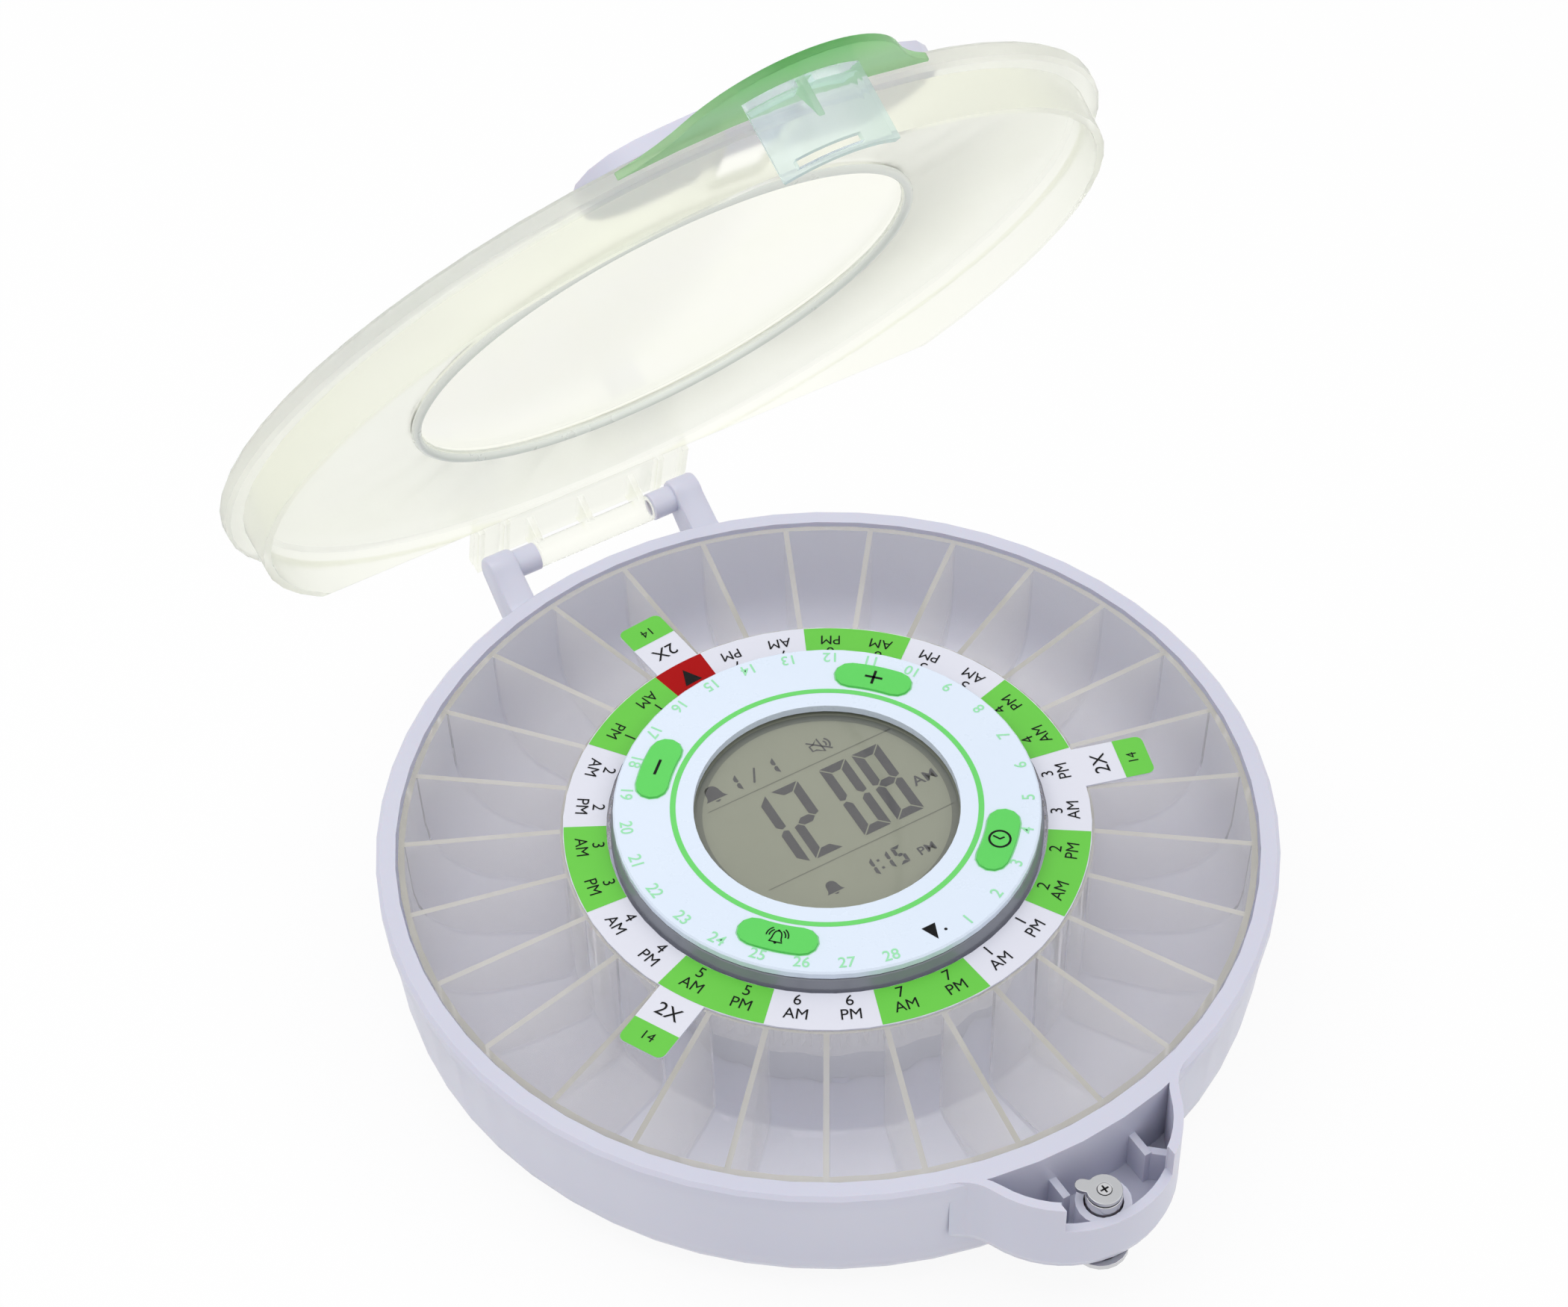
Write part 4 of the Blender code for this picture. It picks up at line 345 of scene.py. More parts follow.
class Finishes:
    """Every finish of the pill box, built once and looked up by name."""

    def build(self) -> dict[str, Material]:
        """Builds the finishes and gives the materials by name."""
        wanted = self.plastics() + self.prints() + self.clears() + self.inside()
        return {finish.name: finish.build() for finish in wanted}

    def plastics(self) -> list[Finish]:
        """Opaque mouldings that show."""
        return [
            Finish("lavender_plastic", (203, 204, 219), (197, 198, 215), 0.34, subsurface=0.10,
                   grain=0.12, coat=0.05),
            Finish("pale_grey_plastic", (190, 192, 200), (182, 184, 194), 0.45),
            Finish("grey_ring", (128, 131, 140), (118, 121, 130), 0.30, grain=0.10),
            # painted shade for the wall of the display's opening, where the rim shades it
            Finish("dark_rim", (66, 68, 76), (58, 60, 68), 0.40, grain=0.05),
            Finish("white_face", (218, 229, 244), (214, 226, 242), 0.28, grain=0.05, coat=0.1),
            Finish("green_key", (88, 204, 88), (84, 198, 86), 0.50, grain=0.08),
            Finish("key_seal", (168, 228, 184), (160, 224, 176), 0.50, grain=0.05),
            Finish("white_gear_plastic", (226, 226, 222), (216, 216, 210), 0.42),
        ]

    def prints(self) -> list[Finish]:
        """Printed paper, inks and the display."""
        return [
            Finish("printed_label", (219, 220, 231), (215, 216, 228), 0.42, grain=0.08,
                   grain_scale=1600.0),
            Finish("label_green_ink", (98, 196, 60), (92, 190, 58), 0.45, grain=0.08),
            Finish("label_red_ink", (168, 8, 10), (160, 6, 8), 0.50, grain=0.08, ior=1.2),
            # this black also paints the shade on the floor of the screw's slots
            Finish("black_ink", (18, 18, 20), (24, 24, 26), 0.55, grain=0.05, ior=1.2),
            Finish("ring_green_ink", (102, 209, 102), (98, 204, 100), 0.36, grain=0.05),
            Finish("pale_green_ink", (150, 224, 172), (142, 218, 166), 0.36, grain=0.05),
            Finish("display_glass", (136, 139, 123), (130, 133, 118), 0.30, grain=0.02,
                   drift_scale=40.0),
            # painted shade for the panel's edge, under the window's rim
            Finish("display_shade", (104, 107, 98), (98, 101, 92), 0.30, grain=0.02),
            Finish("display_digit", (66, 65, 71), (62, 61, 67), 0.34, grain=0.0),
            Finish("display_line", (100, 102, 92), (96, 98, 88), 0.34, grain=0.0),
        ]

    def clears(self) -> list[Finish]:
        """See-through mouldings."""
        return [
            Finish("clear_tray_plastic", (254, 253, 254), (252, 251, 253), 0.08, spread=0.03,
                   ior=1.12, transmission=0.78, coat=0.5, coat_roughness=0.05, grain=0.03,
                   grain_scale=120.0, grain_depth=0.0002, slant_colour=(252, 250, 240)),
            # painted highlight for the tray walls' rounded edges and tops
            Finish("clear_tray_edge", (222, 219, 208), (214, 212, 206), 0.24, spread=0.06,
                   ior=1.12, transmission=0.6, coat=0.4, grain=0.03, drift_scale=60.0),
            Finish("frosted_lid_plastic", (255, 255, 248), (254, 255, 244), 0.34, spread=0.06,
                   ior=1.08, transmission=0.94, coat=0.15, coat_roughness=0.3, grain=0.10,
                   grain_scale=700.0, slant_colour=(238, 241, 230), slant_blend=0.15),
            Finish("frosted_lid_edge", (172, 176, 180), (166, 170, 177), 0.36, spread=0.06,
                   ior=1.10, transmission=0.45, coat=0.2, grain=0.05),
            Finish("frosted_lid_bead", (226, 229, 222), (220, 224, 218), 0.28, spread=0.06,
                   ior=1.20, transmission=0.15, coat=0.4, grain=0.05),
            Finish("clear_lid_plastic", (255, 255, 247), (254, 255, 243), 0.12, spread=0.04,
                   ior=1.10, transmission=1.0, grain=0.03, grain_scale=200.0),
            Finish("clear_latch_plastic", (236, 246, 248), (230, 243, 246), 0.20, spread=0.06,
                   ior=1.08, transmission=0.86, coat=0.3, grain=0.06, slant_colour=(205, 232, 222)),
            Finish("clear_latch_edge", (150, 205, 175), (140, 196, 168), 0.20, spread=0.05,
                   ior=1.08, transmission=0.6, coat=0.3, grain=0.03),
            Finish("green_clear_plastic", (206, 240, 198), (196, 234, 188), 0.34, spread=0.06,
                   ior=1.08, transmission=0.9, coat=0.3, grain=0.08, slant_colour=(120, 200, 116),
                   # painted shade: the nose turns deeper green towards its top, where its underside is
                   # in shade
                   fade_colour=(96, 186, 92), fade_low=NOSE_MIDDLE, fade_high=NOSE_TOP),
            Finish("clear_lens", (253, 253, 253), (252, 252, 252), 0.04, spread=0.02,
                   ior=1.38, transmission=1.0, grain=0.0),
        ]

    def inside(self) -> list[Finish]:
        """Metal and what lies inside the casing."""
        return [
            Finish("plated_steel", (206, 206, 208), (190, 190, 194), 0.22, metallic=1.0,
                   grain=0.10, grain_scale=1500.0),
            Finish("dull_steel", (188, 189, 192), (176, 177, 181), 0.30, metallic=1.0,
                   grain=0.15, grain_scale=1500.0),
            Finish("circuit_board", (28, 96, 52), (24, 84, 46), 0.48, drift_scale=400.0,
                   grain=0.4, grain_scale=1200.0),
            Finish("black_plastic", (34, 34, 36), (42, 42, 44), 0.46, grain=0.3),
            Finish("battery_jacket", (46, 48, 56), (54, 56, 62), 0.32, grain=0.05),
        ]


def join_arrays(parts: list[tuple]) -> tuple:
    """Joins several sets of vertices and faces into one.

    Args:
        parts: pairs of a vertex array and a list of faces.

    Returns:
        One vertex array and one list of faces.
    """
    points, faces, count = [], [], 0
    for vertices, corners in parts:
        points.append(vertices)
        faces += [[index + count for index in face] for face in corners]
        count += len(vertices)
    return np.concatenate(points), faces


def link_mesh(name: str, mesh: Mesh) -> Object:
    """Shades a mesh smooth up to the sharp angle and puts it into an object at the origin.

    Args:
        name: name of the piece.
        mesh: its mesh.

    Returns:
        The linked object.
    """
    mesh.shade_smooth()
    mesh.set_sharp_from_angle(angle=SHARP)
    made = bpy.data.objects.new(name, mesh)
    bpy.context.scene.collection.objects.link(made)
    return made


def new_piece(name: str, vertices: np.ndarray, faces: list, finish: Material) -> Object:
    """Puts arrays into a mesh object that stands at the origin.

    Args:
        name: name of the piece.
        vertices: one row of x, y and z for each vertex.
        faces: the vertex numbers of each face.
        finish: its material.

    Returns:
        The linked object.
    """
    mesh = bpy.data.meshes.new(name)
    mesh.from_pydata(np.asarray(vertices, float).tolist(), [], faces)
    mesh.materials.append(finish)
    mesh.validate()
    return link_mesh(name, mesh)


def grid_faces(rows: int, columns: int, close_rows: bool, close_columns: bool) -> list:
    """Quads of a grid of vertices, numbered row by row.

    Args:
        rows: number of rows.
        columns: number of columns.
        close_rows: joins the last row to the first.
        close_columns: joins the last column to the first.

    Returns:
        The faces as lists of four vertex numbers.
    """
    row = np.arange(rows if close_rows else rows - 1)
    column = np.arange(columns if close_columns else columns - 1)
    a, b = np.meshgrid(row, column, indexing="ij")
    c, d = (a + 1) % rows, (b + 1) % columns
    quads = np.stack([a * columns + b, c * columns + b, c * columns + d, a * columns + d], axis=-1)
    return quads.reshape(-1, 4).tolist()


def around(steps: int) -> np.ndarray:
    """Angles of even steps once round a circle."""
    return np.linspace(0, TURN, steps, endpoint=False)


def arc(turn: np.ndarray | float, radius: np.ndarray | float | tuple,
        centre: np.ndarray | tuple = (0.0, 0.0)) -> np.ndarray:
    """Points of an arc: its centre plus the radius times the cosine and sine of each angle.

    Args:
        turn: the angles.
        radius: one radius, or one along x and one along y.
        centre: x and y of the centre.

    Returns:
        One row of x and y for each angle.
    """
    return np.column_stack([np.cos(turn), np.sin(turn)]) * radius + centre


def bar(half: float) -> np.ndarray:
    """Straight path along x, a half length to both sides of the origin."""
    return np.array([[-half, 0.0], [half, 0.0]])


def wedge(half: float, foot: float, tip: float) -> np.ndarray:
    """Triangle with a foot across y at one level and its tip on the middle line."""
    return np.array([[-half, foot], [0.0, tip], [half, foot]])


def both_sides(right: np.ndarray) -> np.ndarray:
    """Closes the right half of an outline with its mirror image."""
    return np.concatenate([right, right[::-1] * (-1.0, 1.0)])


def strip(edges: np.ndarray, height: float, closed: bool) -> tuple:
    """Flat strip between two edges at one height.

    Args:
        edges: for each place along the strip, x and y on both of its edges.
        height: height above the underside.
        closed: joins the end to the start.

    Returns:
        Vertices and faces.
    """
    points = np.concatenate([edges, np.full((*edges.shape[:2], 1), height)], axis=-1)
    return points.reshape(-1, 3), grid_faces(len(edges), 2, closed, False)


def flat_band(inner: float, outer: float, start: float, end: float, height: float, steps: int) -> tuple:
    """Flat piece of a ring: radius runs from outer to inner and the angle from start to end.

    Args:
        inner: inner radius.
        outer: outer radius.
        start: first angle.
        end: last angle.
        height: height above the underside.
        steps: number of steps along the angle.

    Returns:
        Vertices and faces.
    """
    turn = np.linspace(start, end, steps + 1)
    return strip(np.stack([arc(turn, outer), arc(turn, inner)], axis=1), height, False)


def flat_outline(outline: np.ndarray, height: float) -> tuple:
    """One flat face inside an outline of x and y rows."""
    points = np.column_stack([outline, np.full(len(outline), height)])
    return points, [list(range(len(outline)))]


def stroke(path: np.ndarray, width: float, height: float, closed: bool = False) -> tuple:
    """Flat line of even width: the path is moved half the width to both sides of its normal.

    Args:
        path: rows of x and y along the line.
        width: width of the line.
        height: height above the underside.
        closed: joins the end to the start.

    Returns:
        Vertices and faces.
    """
    along = np.roll(path, -1, axis=0) - np.roll(path, 1, axis=0) if closed else np.gradient(path, axis=0)
    along = along / np.linalg.norm(along, axis=1, keepdims=True)
    side = np.column_stack([-along[:, 1], along[:, 0]]) * width / 2
    return strip(np.stack([path - side, path + side], axis=1), height, closed)


def turned_by(part: tuple, angle: float, shift: np.ndarray | tuple = (0.0, 0.0)) -> tuple:
    """Turns flat work about the vertical axis, then moves it in x and y.

    Args:
        part: vertices and faces.
        angle: turn in radians.
        shift: move in x and y.

    Returns:
        The moved vertices and the same faces.
    """
    points, faces = part
    cosine, sine = math.cos(angle), math.sin(angle)
    x = points[:, 0] * cosine - points[:, 1] * sine + shift[0]
    y = points[:, 0] * sine + points[:, 1] * cosine + shift[1]
    return np.column_stack([x, y, points[:, 2]]), faces


def round_spot(part: tuple, radius: float, angle: float) -> tuple:
    """Places flat work round a dial, at a radius and an angle, with its top towards the centre."""
    return turned_by(part, angle - FRONT, arc(angle, radius)[0])


def words(text: str, size: float, height: float, squeeze: float = 1.0, weight: float = 0.0) -> tuple:
    """Flat lettering centred on the origin, made from Blender's own plain font.

    Args:
        text: plain numbers or signs.
        size: height of a capital letter.
        height: height above the underside.
        squeeze: width of the letters over their natural width.
        weight: how far the outline is thickened, as a share of the height.

    Returns:
        Vertices and faces.
    """
    curve = bpy.data.curves.new("lettering", "FONT")
    curve.body = text
    curve.size = size
    curve.offset = weight * size
    curve.resolution_u = LETTER_STEPS
    holder = bpy.data.objects.new("lettering", curve)
    bpy.context.scene.collection.objects.link(holder)
    bpy.context.view_layer.update()
    mesh = holder.evaluated_get(bpy.context.evaluated_depsgraph_get()).to_mesh()
    points = np.empty(len(mesh.vertices) * 3)
    mesh.vertices.foreach_get("co", points)
    points = points.reshape(-1, 3)
    low, high = points.min(axis=0), points.max(axis=0)
    grow = size / (high[1] - low[1])
    points = (points - (low + high) / 2) * np.array([grow * squeeze, grow, 0.0])
    points[:, 2] = height
    faces = [list(face.vertices) for face in mesh.polygons]
    bpy.data.objects.remove(holder, do_unlink=True)
    bpy.data.curves.remove(curve)
    return points, faces


def face_places(mesh: Mesh) -> tuple[np.ndarray, np.ndarray]:
    """Reads where every face of a mesh points and lies.

    Args:
        mesh: the mesh.

    Returns:
        The normals and the centres, one row of x, y and z for each face.
    """
    rows = []
    for name in ("normal", "center"):
        values = np.empty(len(mesh.polygons) * 3)
        mesh.polygons.foreach_get(name, values)
        rows.append(values.reshape(-1, 3))
    return rows[0], rows[1]


def give_second_finish(mesh: Mesh, chosen: np.ndarray) -> None:
    """Gives the chosen faces the mesh's second material."""
    mesh.polygons.foreach_set("material_index", chosen.astype(np.int32))


def let_light_through(piece: Object) -> None:
    """Lets all lamp light pass a clear piece."""
    piece.visible_shadow = False
    piece.visible_diffuse = False


def fine_copy(node: str, finish: Material, edge: float = 0.0,
              edge_finish: Material | None = None) -> Object:
    """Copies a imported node, merges its loose triangles and rounds its edges.

    Args:
        node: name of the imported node.
        finish: the copy's material.
        edge: width of the rounded edges, or zero.
        edge_finish: material of the rounded edges, where it is another one.

    Returns:
        The finished piece, named after the node.
    """
    name = node + "_skin"
    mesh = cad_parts[node].data.copy()
    mesh.name = name
    work = bmesh.new()
    work.from_mesh(mesh)
    bmesh.ops.remove_doubles(work, verts=work.verts[:], dist=MERGE)
    bmesh.ops.dissolve_limit(work, angle_limit=FLAT, verts=work.verts[:], edges=work.edges[:])
    work.to_mesh(mesh)
    work.free()
    mesh.materials.clear()
    mesh.materials.append(finish)
    if edge_finish:
        mesh.materials.append(edge_finish)
    made = link_mesh(name, mesh)
    if edge:
        rounding = made.modifiers.new("edge round", "BEVEL")
        rounding.width = edge
        rounding.segments = EDGE_STEPS
        rounding.limit_method = "ANGLE"
        rounding.angle_limit = SHARP
        rounding.harden_normals = True
        if edge_finish:
            rounding.material = 1
    return made


def settle(piece: Object, body: Body, slot: str, *nodes: str) -> Object:
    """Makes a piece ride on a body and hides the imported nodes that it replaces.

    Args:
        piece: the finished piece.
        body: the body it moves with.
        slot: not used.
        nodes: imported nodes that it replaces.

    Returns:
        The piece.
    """
    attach(piece, body.value)
    if nodes:
        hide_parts(*nodes)
    LOG.info("%s rides on %s", piece.name, body.value)
    return piece


@dataclass
class Dressing:
    """What every sub-assembly needs: the finishes, a way to dress a node and a way to add a piece."""

    finishes: dict[str, Material]

    def dress(self, node: str, slot: str, body: Body, edge: float = 0.0, finish: str | None = None,
              edge_finish: str | None = None, clear: bool = False) -> Object:
        """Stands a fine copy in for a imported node.

        Args:
            node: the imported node.
            slot: material slot of the record.
            body: the body it moves with.
            edge: width of the rounded edges, or zero.
            finish: name of the finish, where it isn't the slot's.
            edge_finish: name of the rounded edges' finish, where it is another one.
            clear: lets all lamp light through.

        Returns:
            The piece.
        """
        piece = fine_copy(node, self.finishes[finish or slot], edge, self.finishes.get(edge_finish))
        if clear:
            let_light_through(piece)
        return settle(piece, body, slot, node)

    def lay(self, name: str, parts: list[tuple], finish: str, body: Body, slot: str) -> Object:
        """Adds a new piece, made of one or more parts.

        Args:
            name: name of the piece.
            parts: pairs of vertices and faces.
            finish: name of its finish.
            body: the body it moves with.
            slot: material slot of the record.

        Returns:
            The piece.
        """
        return settle(new_piece(name, *join_arrays(parts), self.finishes[finish]), body, slot)


@dataclass
class Base(Dressing):
    """Bowl with its lock lobe and hinge ears, the battery door and what they hold."""

    bowl_edge: float = 0.0003
    small_edge: float = 0.0002
    cells: int = 4

    def build(self) -> None:
        """Dresses the bowl, its door and its inner parts."""
        self.dress("base_bowl", "lavender_plastic", Body.BASE, self.bowl_edge)
        self.dress("battery_door", "lavender_plastic", Body.BASE, self.small_edge)
        for number in range(1, self.cells + 1):
            self.dress("battery_cell_%d" % number, "battery_jacket", Body.BASE, self.small_edge)
            self.dress("housing_screw_%d" % number, "plated_steel", Body.BASE)
        for node in ("battery_contact_front", "battery_contact_back", "battery_door_screw", "gearmotor"):
            self.dress(node, "plated_steel", Body.BASE)


@dataclass
class Lock(Dressing):
    """Plated key lock with its turning cam."""

    edge: float = 0.00015
    slot_depth: float = 0.000333
    slot_half: float = 0.0009
    slot_width: float = 0.00038

    def build(self) -> None:
        """Dresses the barrel, the plug, the cam and its screw."""
        self.dress("lock_body", "plated_steel", Body.BASE, self.edge)
        self.dress("lock_plug", "plated_steel", Body.LOCK)
        self.dress("lock_cam", "plated_steel", Body.LOCK, self.edge, "dull_steel")
        self.dress("cam_screw", "plated_steel", Body.LOCK)
        self.recess()

    def recess(self) -> None:
        """Paints shade into the screw's head: a black cross on the floor of the two slots, where the
        recess lies in shade.
        """
        low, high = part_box("cam_screw")
        middle = (low + high) / 2
        slot = stroke(bar(self.slot_half), self.slot_width, high.z - self.slot_depth + INK)
        cross = [turned_by(slot, turn, (middle.x, middle.y)) for turn in (0.0, math.pi / 2)]
        # painted shade: the slots' floors are inked black where shade falls in them
        self.lay("screw_recess", cross, "black_ink", Body.LOCK, "plated_steel")


@dataclass
class Tray(Dressing):
    """Clear dose tray, its gear and the printed ring of day numbers.

    The tray's places are counted from the lock, and a pair of green fields is named by its first.
    """

    wall_edge: float = 0.00025
    edge_facing: float = 0.9
    label_inner: float = 0.0464
    label_outer: float = 0.0554
    skew: float = math.radians(-1.3)
    field_steps: int = 8
    green_pairs: tuple = (3, 7, 11, 16, 20, 24, -1)
    home: int = 15
    mark_foot: float = 0.0488
    mark_tip: float = 0.0533
    mark_half: float = 0.0021
    days: int = 7
    halves: tuple = ("AM", "PM")
    letter: float = 0.0026
    first_row: float = 0.0483
    second_row: float = 0.0518
    second_squeeze: float = 0.95
    tabs_at: tuple = (15, 6, 24)
    tab_green: float = 0.0643
    tab_end: float = 0.0708
    tab_half: float = 0.0053
    tab_round: float = 0.0016
    corner_steps: int = 5
    tab_words: tuple = (("2X", 0.0032, 0.0600), ("14", 0.0022, 0.0672))

    def build(self) -> None:
        """Dresses the tray and prints its ring."""
        # painted highlight: the rounded edges and the walls' tops get the cream edge finish
        tray = self.dress("tray", "clear_tray_plastic", Body.TRAY, self.wall_edge,
                          edge_finish="clear_tray_edge", clear=True)
        self.lighten_edges(tray)
        self.dress("drive_gear", "white_gear_plastic", Body.DRIVE)
        self.dress("label_disc", "printed_label", Body.TRAY)
        self.sectors()
        self.numbers()
        self.tabs()

    def lighten_edges(self, tray: Object) -> None:
        """Paints highlights on the walls' top faces: they get the more opaque cream edge finish,
        standing in for the light that the edges catch.
        """
        normals, centres = face_places(tray.data)
        give_second_finish(tray.data, (normals[:, 2] > self.edge_facing) & (centres[:, 2] > TRAY_MIDDLE))

    def place(self, number: float) -> float:
        """Angle of a compartment's middle on the printed ring."""
        return FRONT + number * PITCH + self.skew

    def print_on(self, name: str, parts: list[tuple], ink: str) -> None:
        """Lays printed work on the ring."""
        self.lay(name, parts, ink, Body.TRAY, "printed_label")

    def fields(self, first: int, count: int) -> tuple:
        """Fields of the ring over one or more compartments.

        Args:
            first: number of the first compartment.
            count: how many compartments they cover.

        Returns:
            Vertices and faces.
        """
        return flat_band(self.label_inner, self.label_outer, self.place(first - 0.5),
                         self.place(first + count - 0.5), LABEL_TOP + INK, self.field_steps * count)

    def sectors(self) -> None:
        """Prints the green pairs of compartments and the red home place."""
        greens = [self.fields(first, 2) for first in self.green_pairs]
        self.print_on("ring_green_sectors", greens, "label_green_ink")
        self.print_on("ring_home_sector", [self.fields(self.home, 1)], "label_red_ink")
        arrow = flat_outline(wedge(self.mark_half, -self.mark_foot, -self.mark_tip), LABEL_TOP + 2 * INK)
        mark = turned_by(arrow, self.place(self.home) - FRONT)
        self.print_on("ring_home_mark", [mark], "black_ink")

    def numbers(self) -> None:
        """Prints a day number and a morning or evening mark in each compartment's field."""
        height = LABEL_TOP + 2 * INK
        parts = []
        for number in range(DIVISIONS):
            if number == self.home:
                continue
            day, half = divmod((number - self.home - 1) % DIVISIONS, len(self.halves))
            angle = self.place(number)
            count = words(str(day % self.days + 1), self.letter, height)
            mark = words(self.halves[half], self.letter, height, self.second_squeeze)
            parts.append(round_spot(count, self.first_row, angle))
            parts.append(round_spot(mark, self.second_row, angle))
        self.print_on("ring_numbers", parts, "black_ink")

    def tabs(self) -> None:
        """Prints the three pull tabs: a green end with two round corners, and two figures."""
        height = LABEL_TOP + INK
        corner = arc(np.linspace(0, -math.pi / 2, self.corner_steps), self.tab_round,
                     (self.tab_half - self.tab_round, self.tab_round - self.tab_end))
        outline = both_sides(np.concatenate([[[self.tab_half, -self.tab_green]], corner]))
        greens, figures = [], []
        for number in self.tabs_at:
            angle = self.place(number)
            greens.append(turned_by(flat_outline(outline[::-1], height), angle - FRONT))
            for text, size, radius in self.tab_words:
                figures.append(round_spot(words(text, size, height + INK), radius, angle))
        self.print_on("tab_green_ends", greens, "label_green_ink")
        self.print_on("tab_figures", figures, "black_ink")


# Segments of a display figure: each corner is (widths, bars) along x and (half heights, bars) along y
BAR = (((0, 0.1), (2, 0)), ((1, -0.1), (2, 0)), ((1, -1.1), (2, -1)), ((0, 1.1), (2, -1)))
SIDE = (((0, 0), (2, -0.1)), ((0, 1), (2, -1.1)), ((0, 1), (1, 0.6)), ((0, 0.5), (1, 0.1)),
        ((0, 0), (1, 0.3)))
WAIST = (((0, 0.6), (1, 0)), ((0, 1.1), (1, -0.5)), ((1, -1.1), (1, -0.5)), ((1, -0.6), (1, 0)),
         ((1, -1.1), (1, 0.5)), ((0, 1.1), (1, 0.5)))


class Segment(Enum):
    """Segments of a display figure: a shape, and whether it is flipped along x and along y."""

    TOP = (BAR, False, False)
    BOTTOM = (BAR, False, True)
    UPPER_LEFT = (SIDE, False, False)
    LOWER_LEFT = (SIDE, False, True)
    UPPER_RIGHT = (SIDE, True, False)
    LOWER_RIGHT = (SIDE, True, True)
    MIDDLE = (WAIST, False, False)

    def corners(self, width: float, tall: float, thick: float) -> np.ndarray:
        """Corners of the segment: its widths and half heights, plus its number of bars.

        A flip takes a share s of 1 width or 2 half heights to 1 - s or 2 - s, and b bars to -b.

        Args:
            width: width of the figure.
            tall: height of the figure.
            thick: width of a segment.

        Returns:
            Rows of x and y from the figure's lower left corner, anticlockwise.
        """
        shape, *flips = self.value
        shares = np.array(shape, float)
        for axis, flip in enumerate(flips):
            if flip:
                shares[:, axis] = np.array([axis + 1.0, 0.0]) - shares[:, axis]
        corners = shares[:, :, 0] * np.array([width, tall / 2]) + shares[:, :, 1] * thick
        x, y = corners.T
        turning = np.sum(x * np.roll(y, -1) - np.roll(x, -1) * y)
        return corners if turning > 0 else corners[::-1]


FIGURES = {
    "0": "TOP UPPER_LEFT UPPER_RIGHT LOWER_LEFT LOWER_RIGHT BOTTOM",
    "1": "UPPER_RIGHT LOWER_RIGHT",
    "2": "TOP UPPER_RIGHT MIDDLE LOWER_LEFT BOTTOM",
    "5": "TOP UPPER_LEFT MIDDLE LOWER_RIGHT BOTTOM",
    "8": "TOP UPPER_LEFT UPPER_RIGHT MIDDLE LOWER_LEFT LOWER_RIGHT BOTTOM",
}


@dataclass(frozen=True)
class FigureRow:
    """Row of slanted display figures of one size."""

    text: str
    lefts: tuple
    foot: float
    width: float
    tall: float
    thick: float

    def build(self, slant: float, height: float) -> list:
        """Draws the segments of each figure, where x leans with y by the slant.

        Args:
            slant: x gained for each step along y.
            height: height above the underside.

        Returns:
            One set of vertices and faces for each segment.
        """
        parts = []
        for text, left in zip(self.text, self.lefts):
            for name in FIGURES[text].split():
                outline = Segment[name].corners(self.width, self.tall, self.thick)
                outline = np.column_stack([outline[:, 0] + outline[:, 1] * slant, outline[:, 1]])
                parts.append(flat_outline(outline + (left, self.foot), height))
        return parts


@dataclass(frozen=True)
class BellShape:
    """Outline of a bell sign that widens fast at its crown and flares again at its lip.

    At a fall f, which is 1 at the lip, the half width is the dome times
    sqrt(1 - (1 - f) ** roundness), plus the flare times f ** 6, and y is the top less the drop
    times f. The falls are even steps from the start to 1, raised to the crowding, so that they
    lie closer at the crown.
    """

    dome: float
    roundness: float
    flare: float
    top: float
    drop: float
    steps: int
    crowding: float
    start: float = 0.0
    flare_power: int = 6

    def outline(self) -> np.ndarray:
        """Works the outline out.

        Returns:
            Rows of x and y, clockwise from the crown.
        """
        fall = np.linspace(self.start, 1, self.steps) ** self.crowding
        dome = self.dome * np.sqrt(1 - (1 - fall) ** self.roundness)
        half = dome + self.flare * fall ** self.flare_power
        return both_sides(np.column_stack([half, self.top - self.drop * fall]))


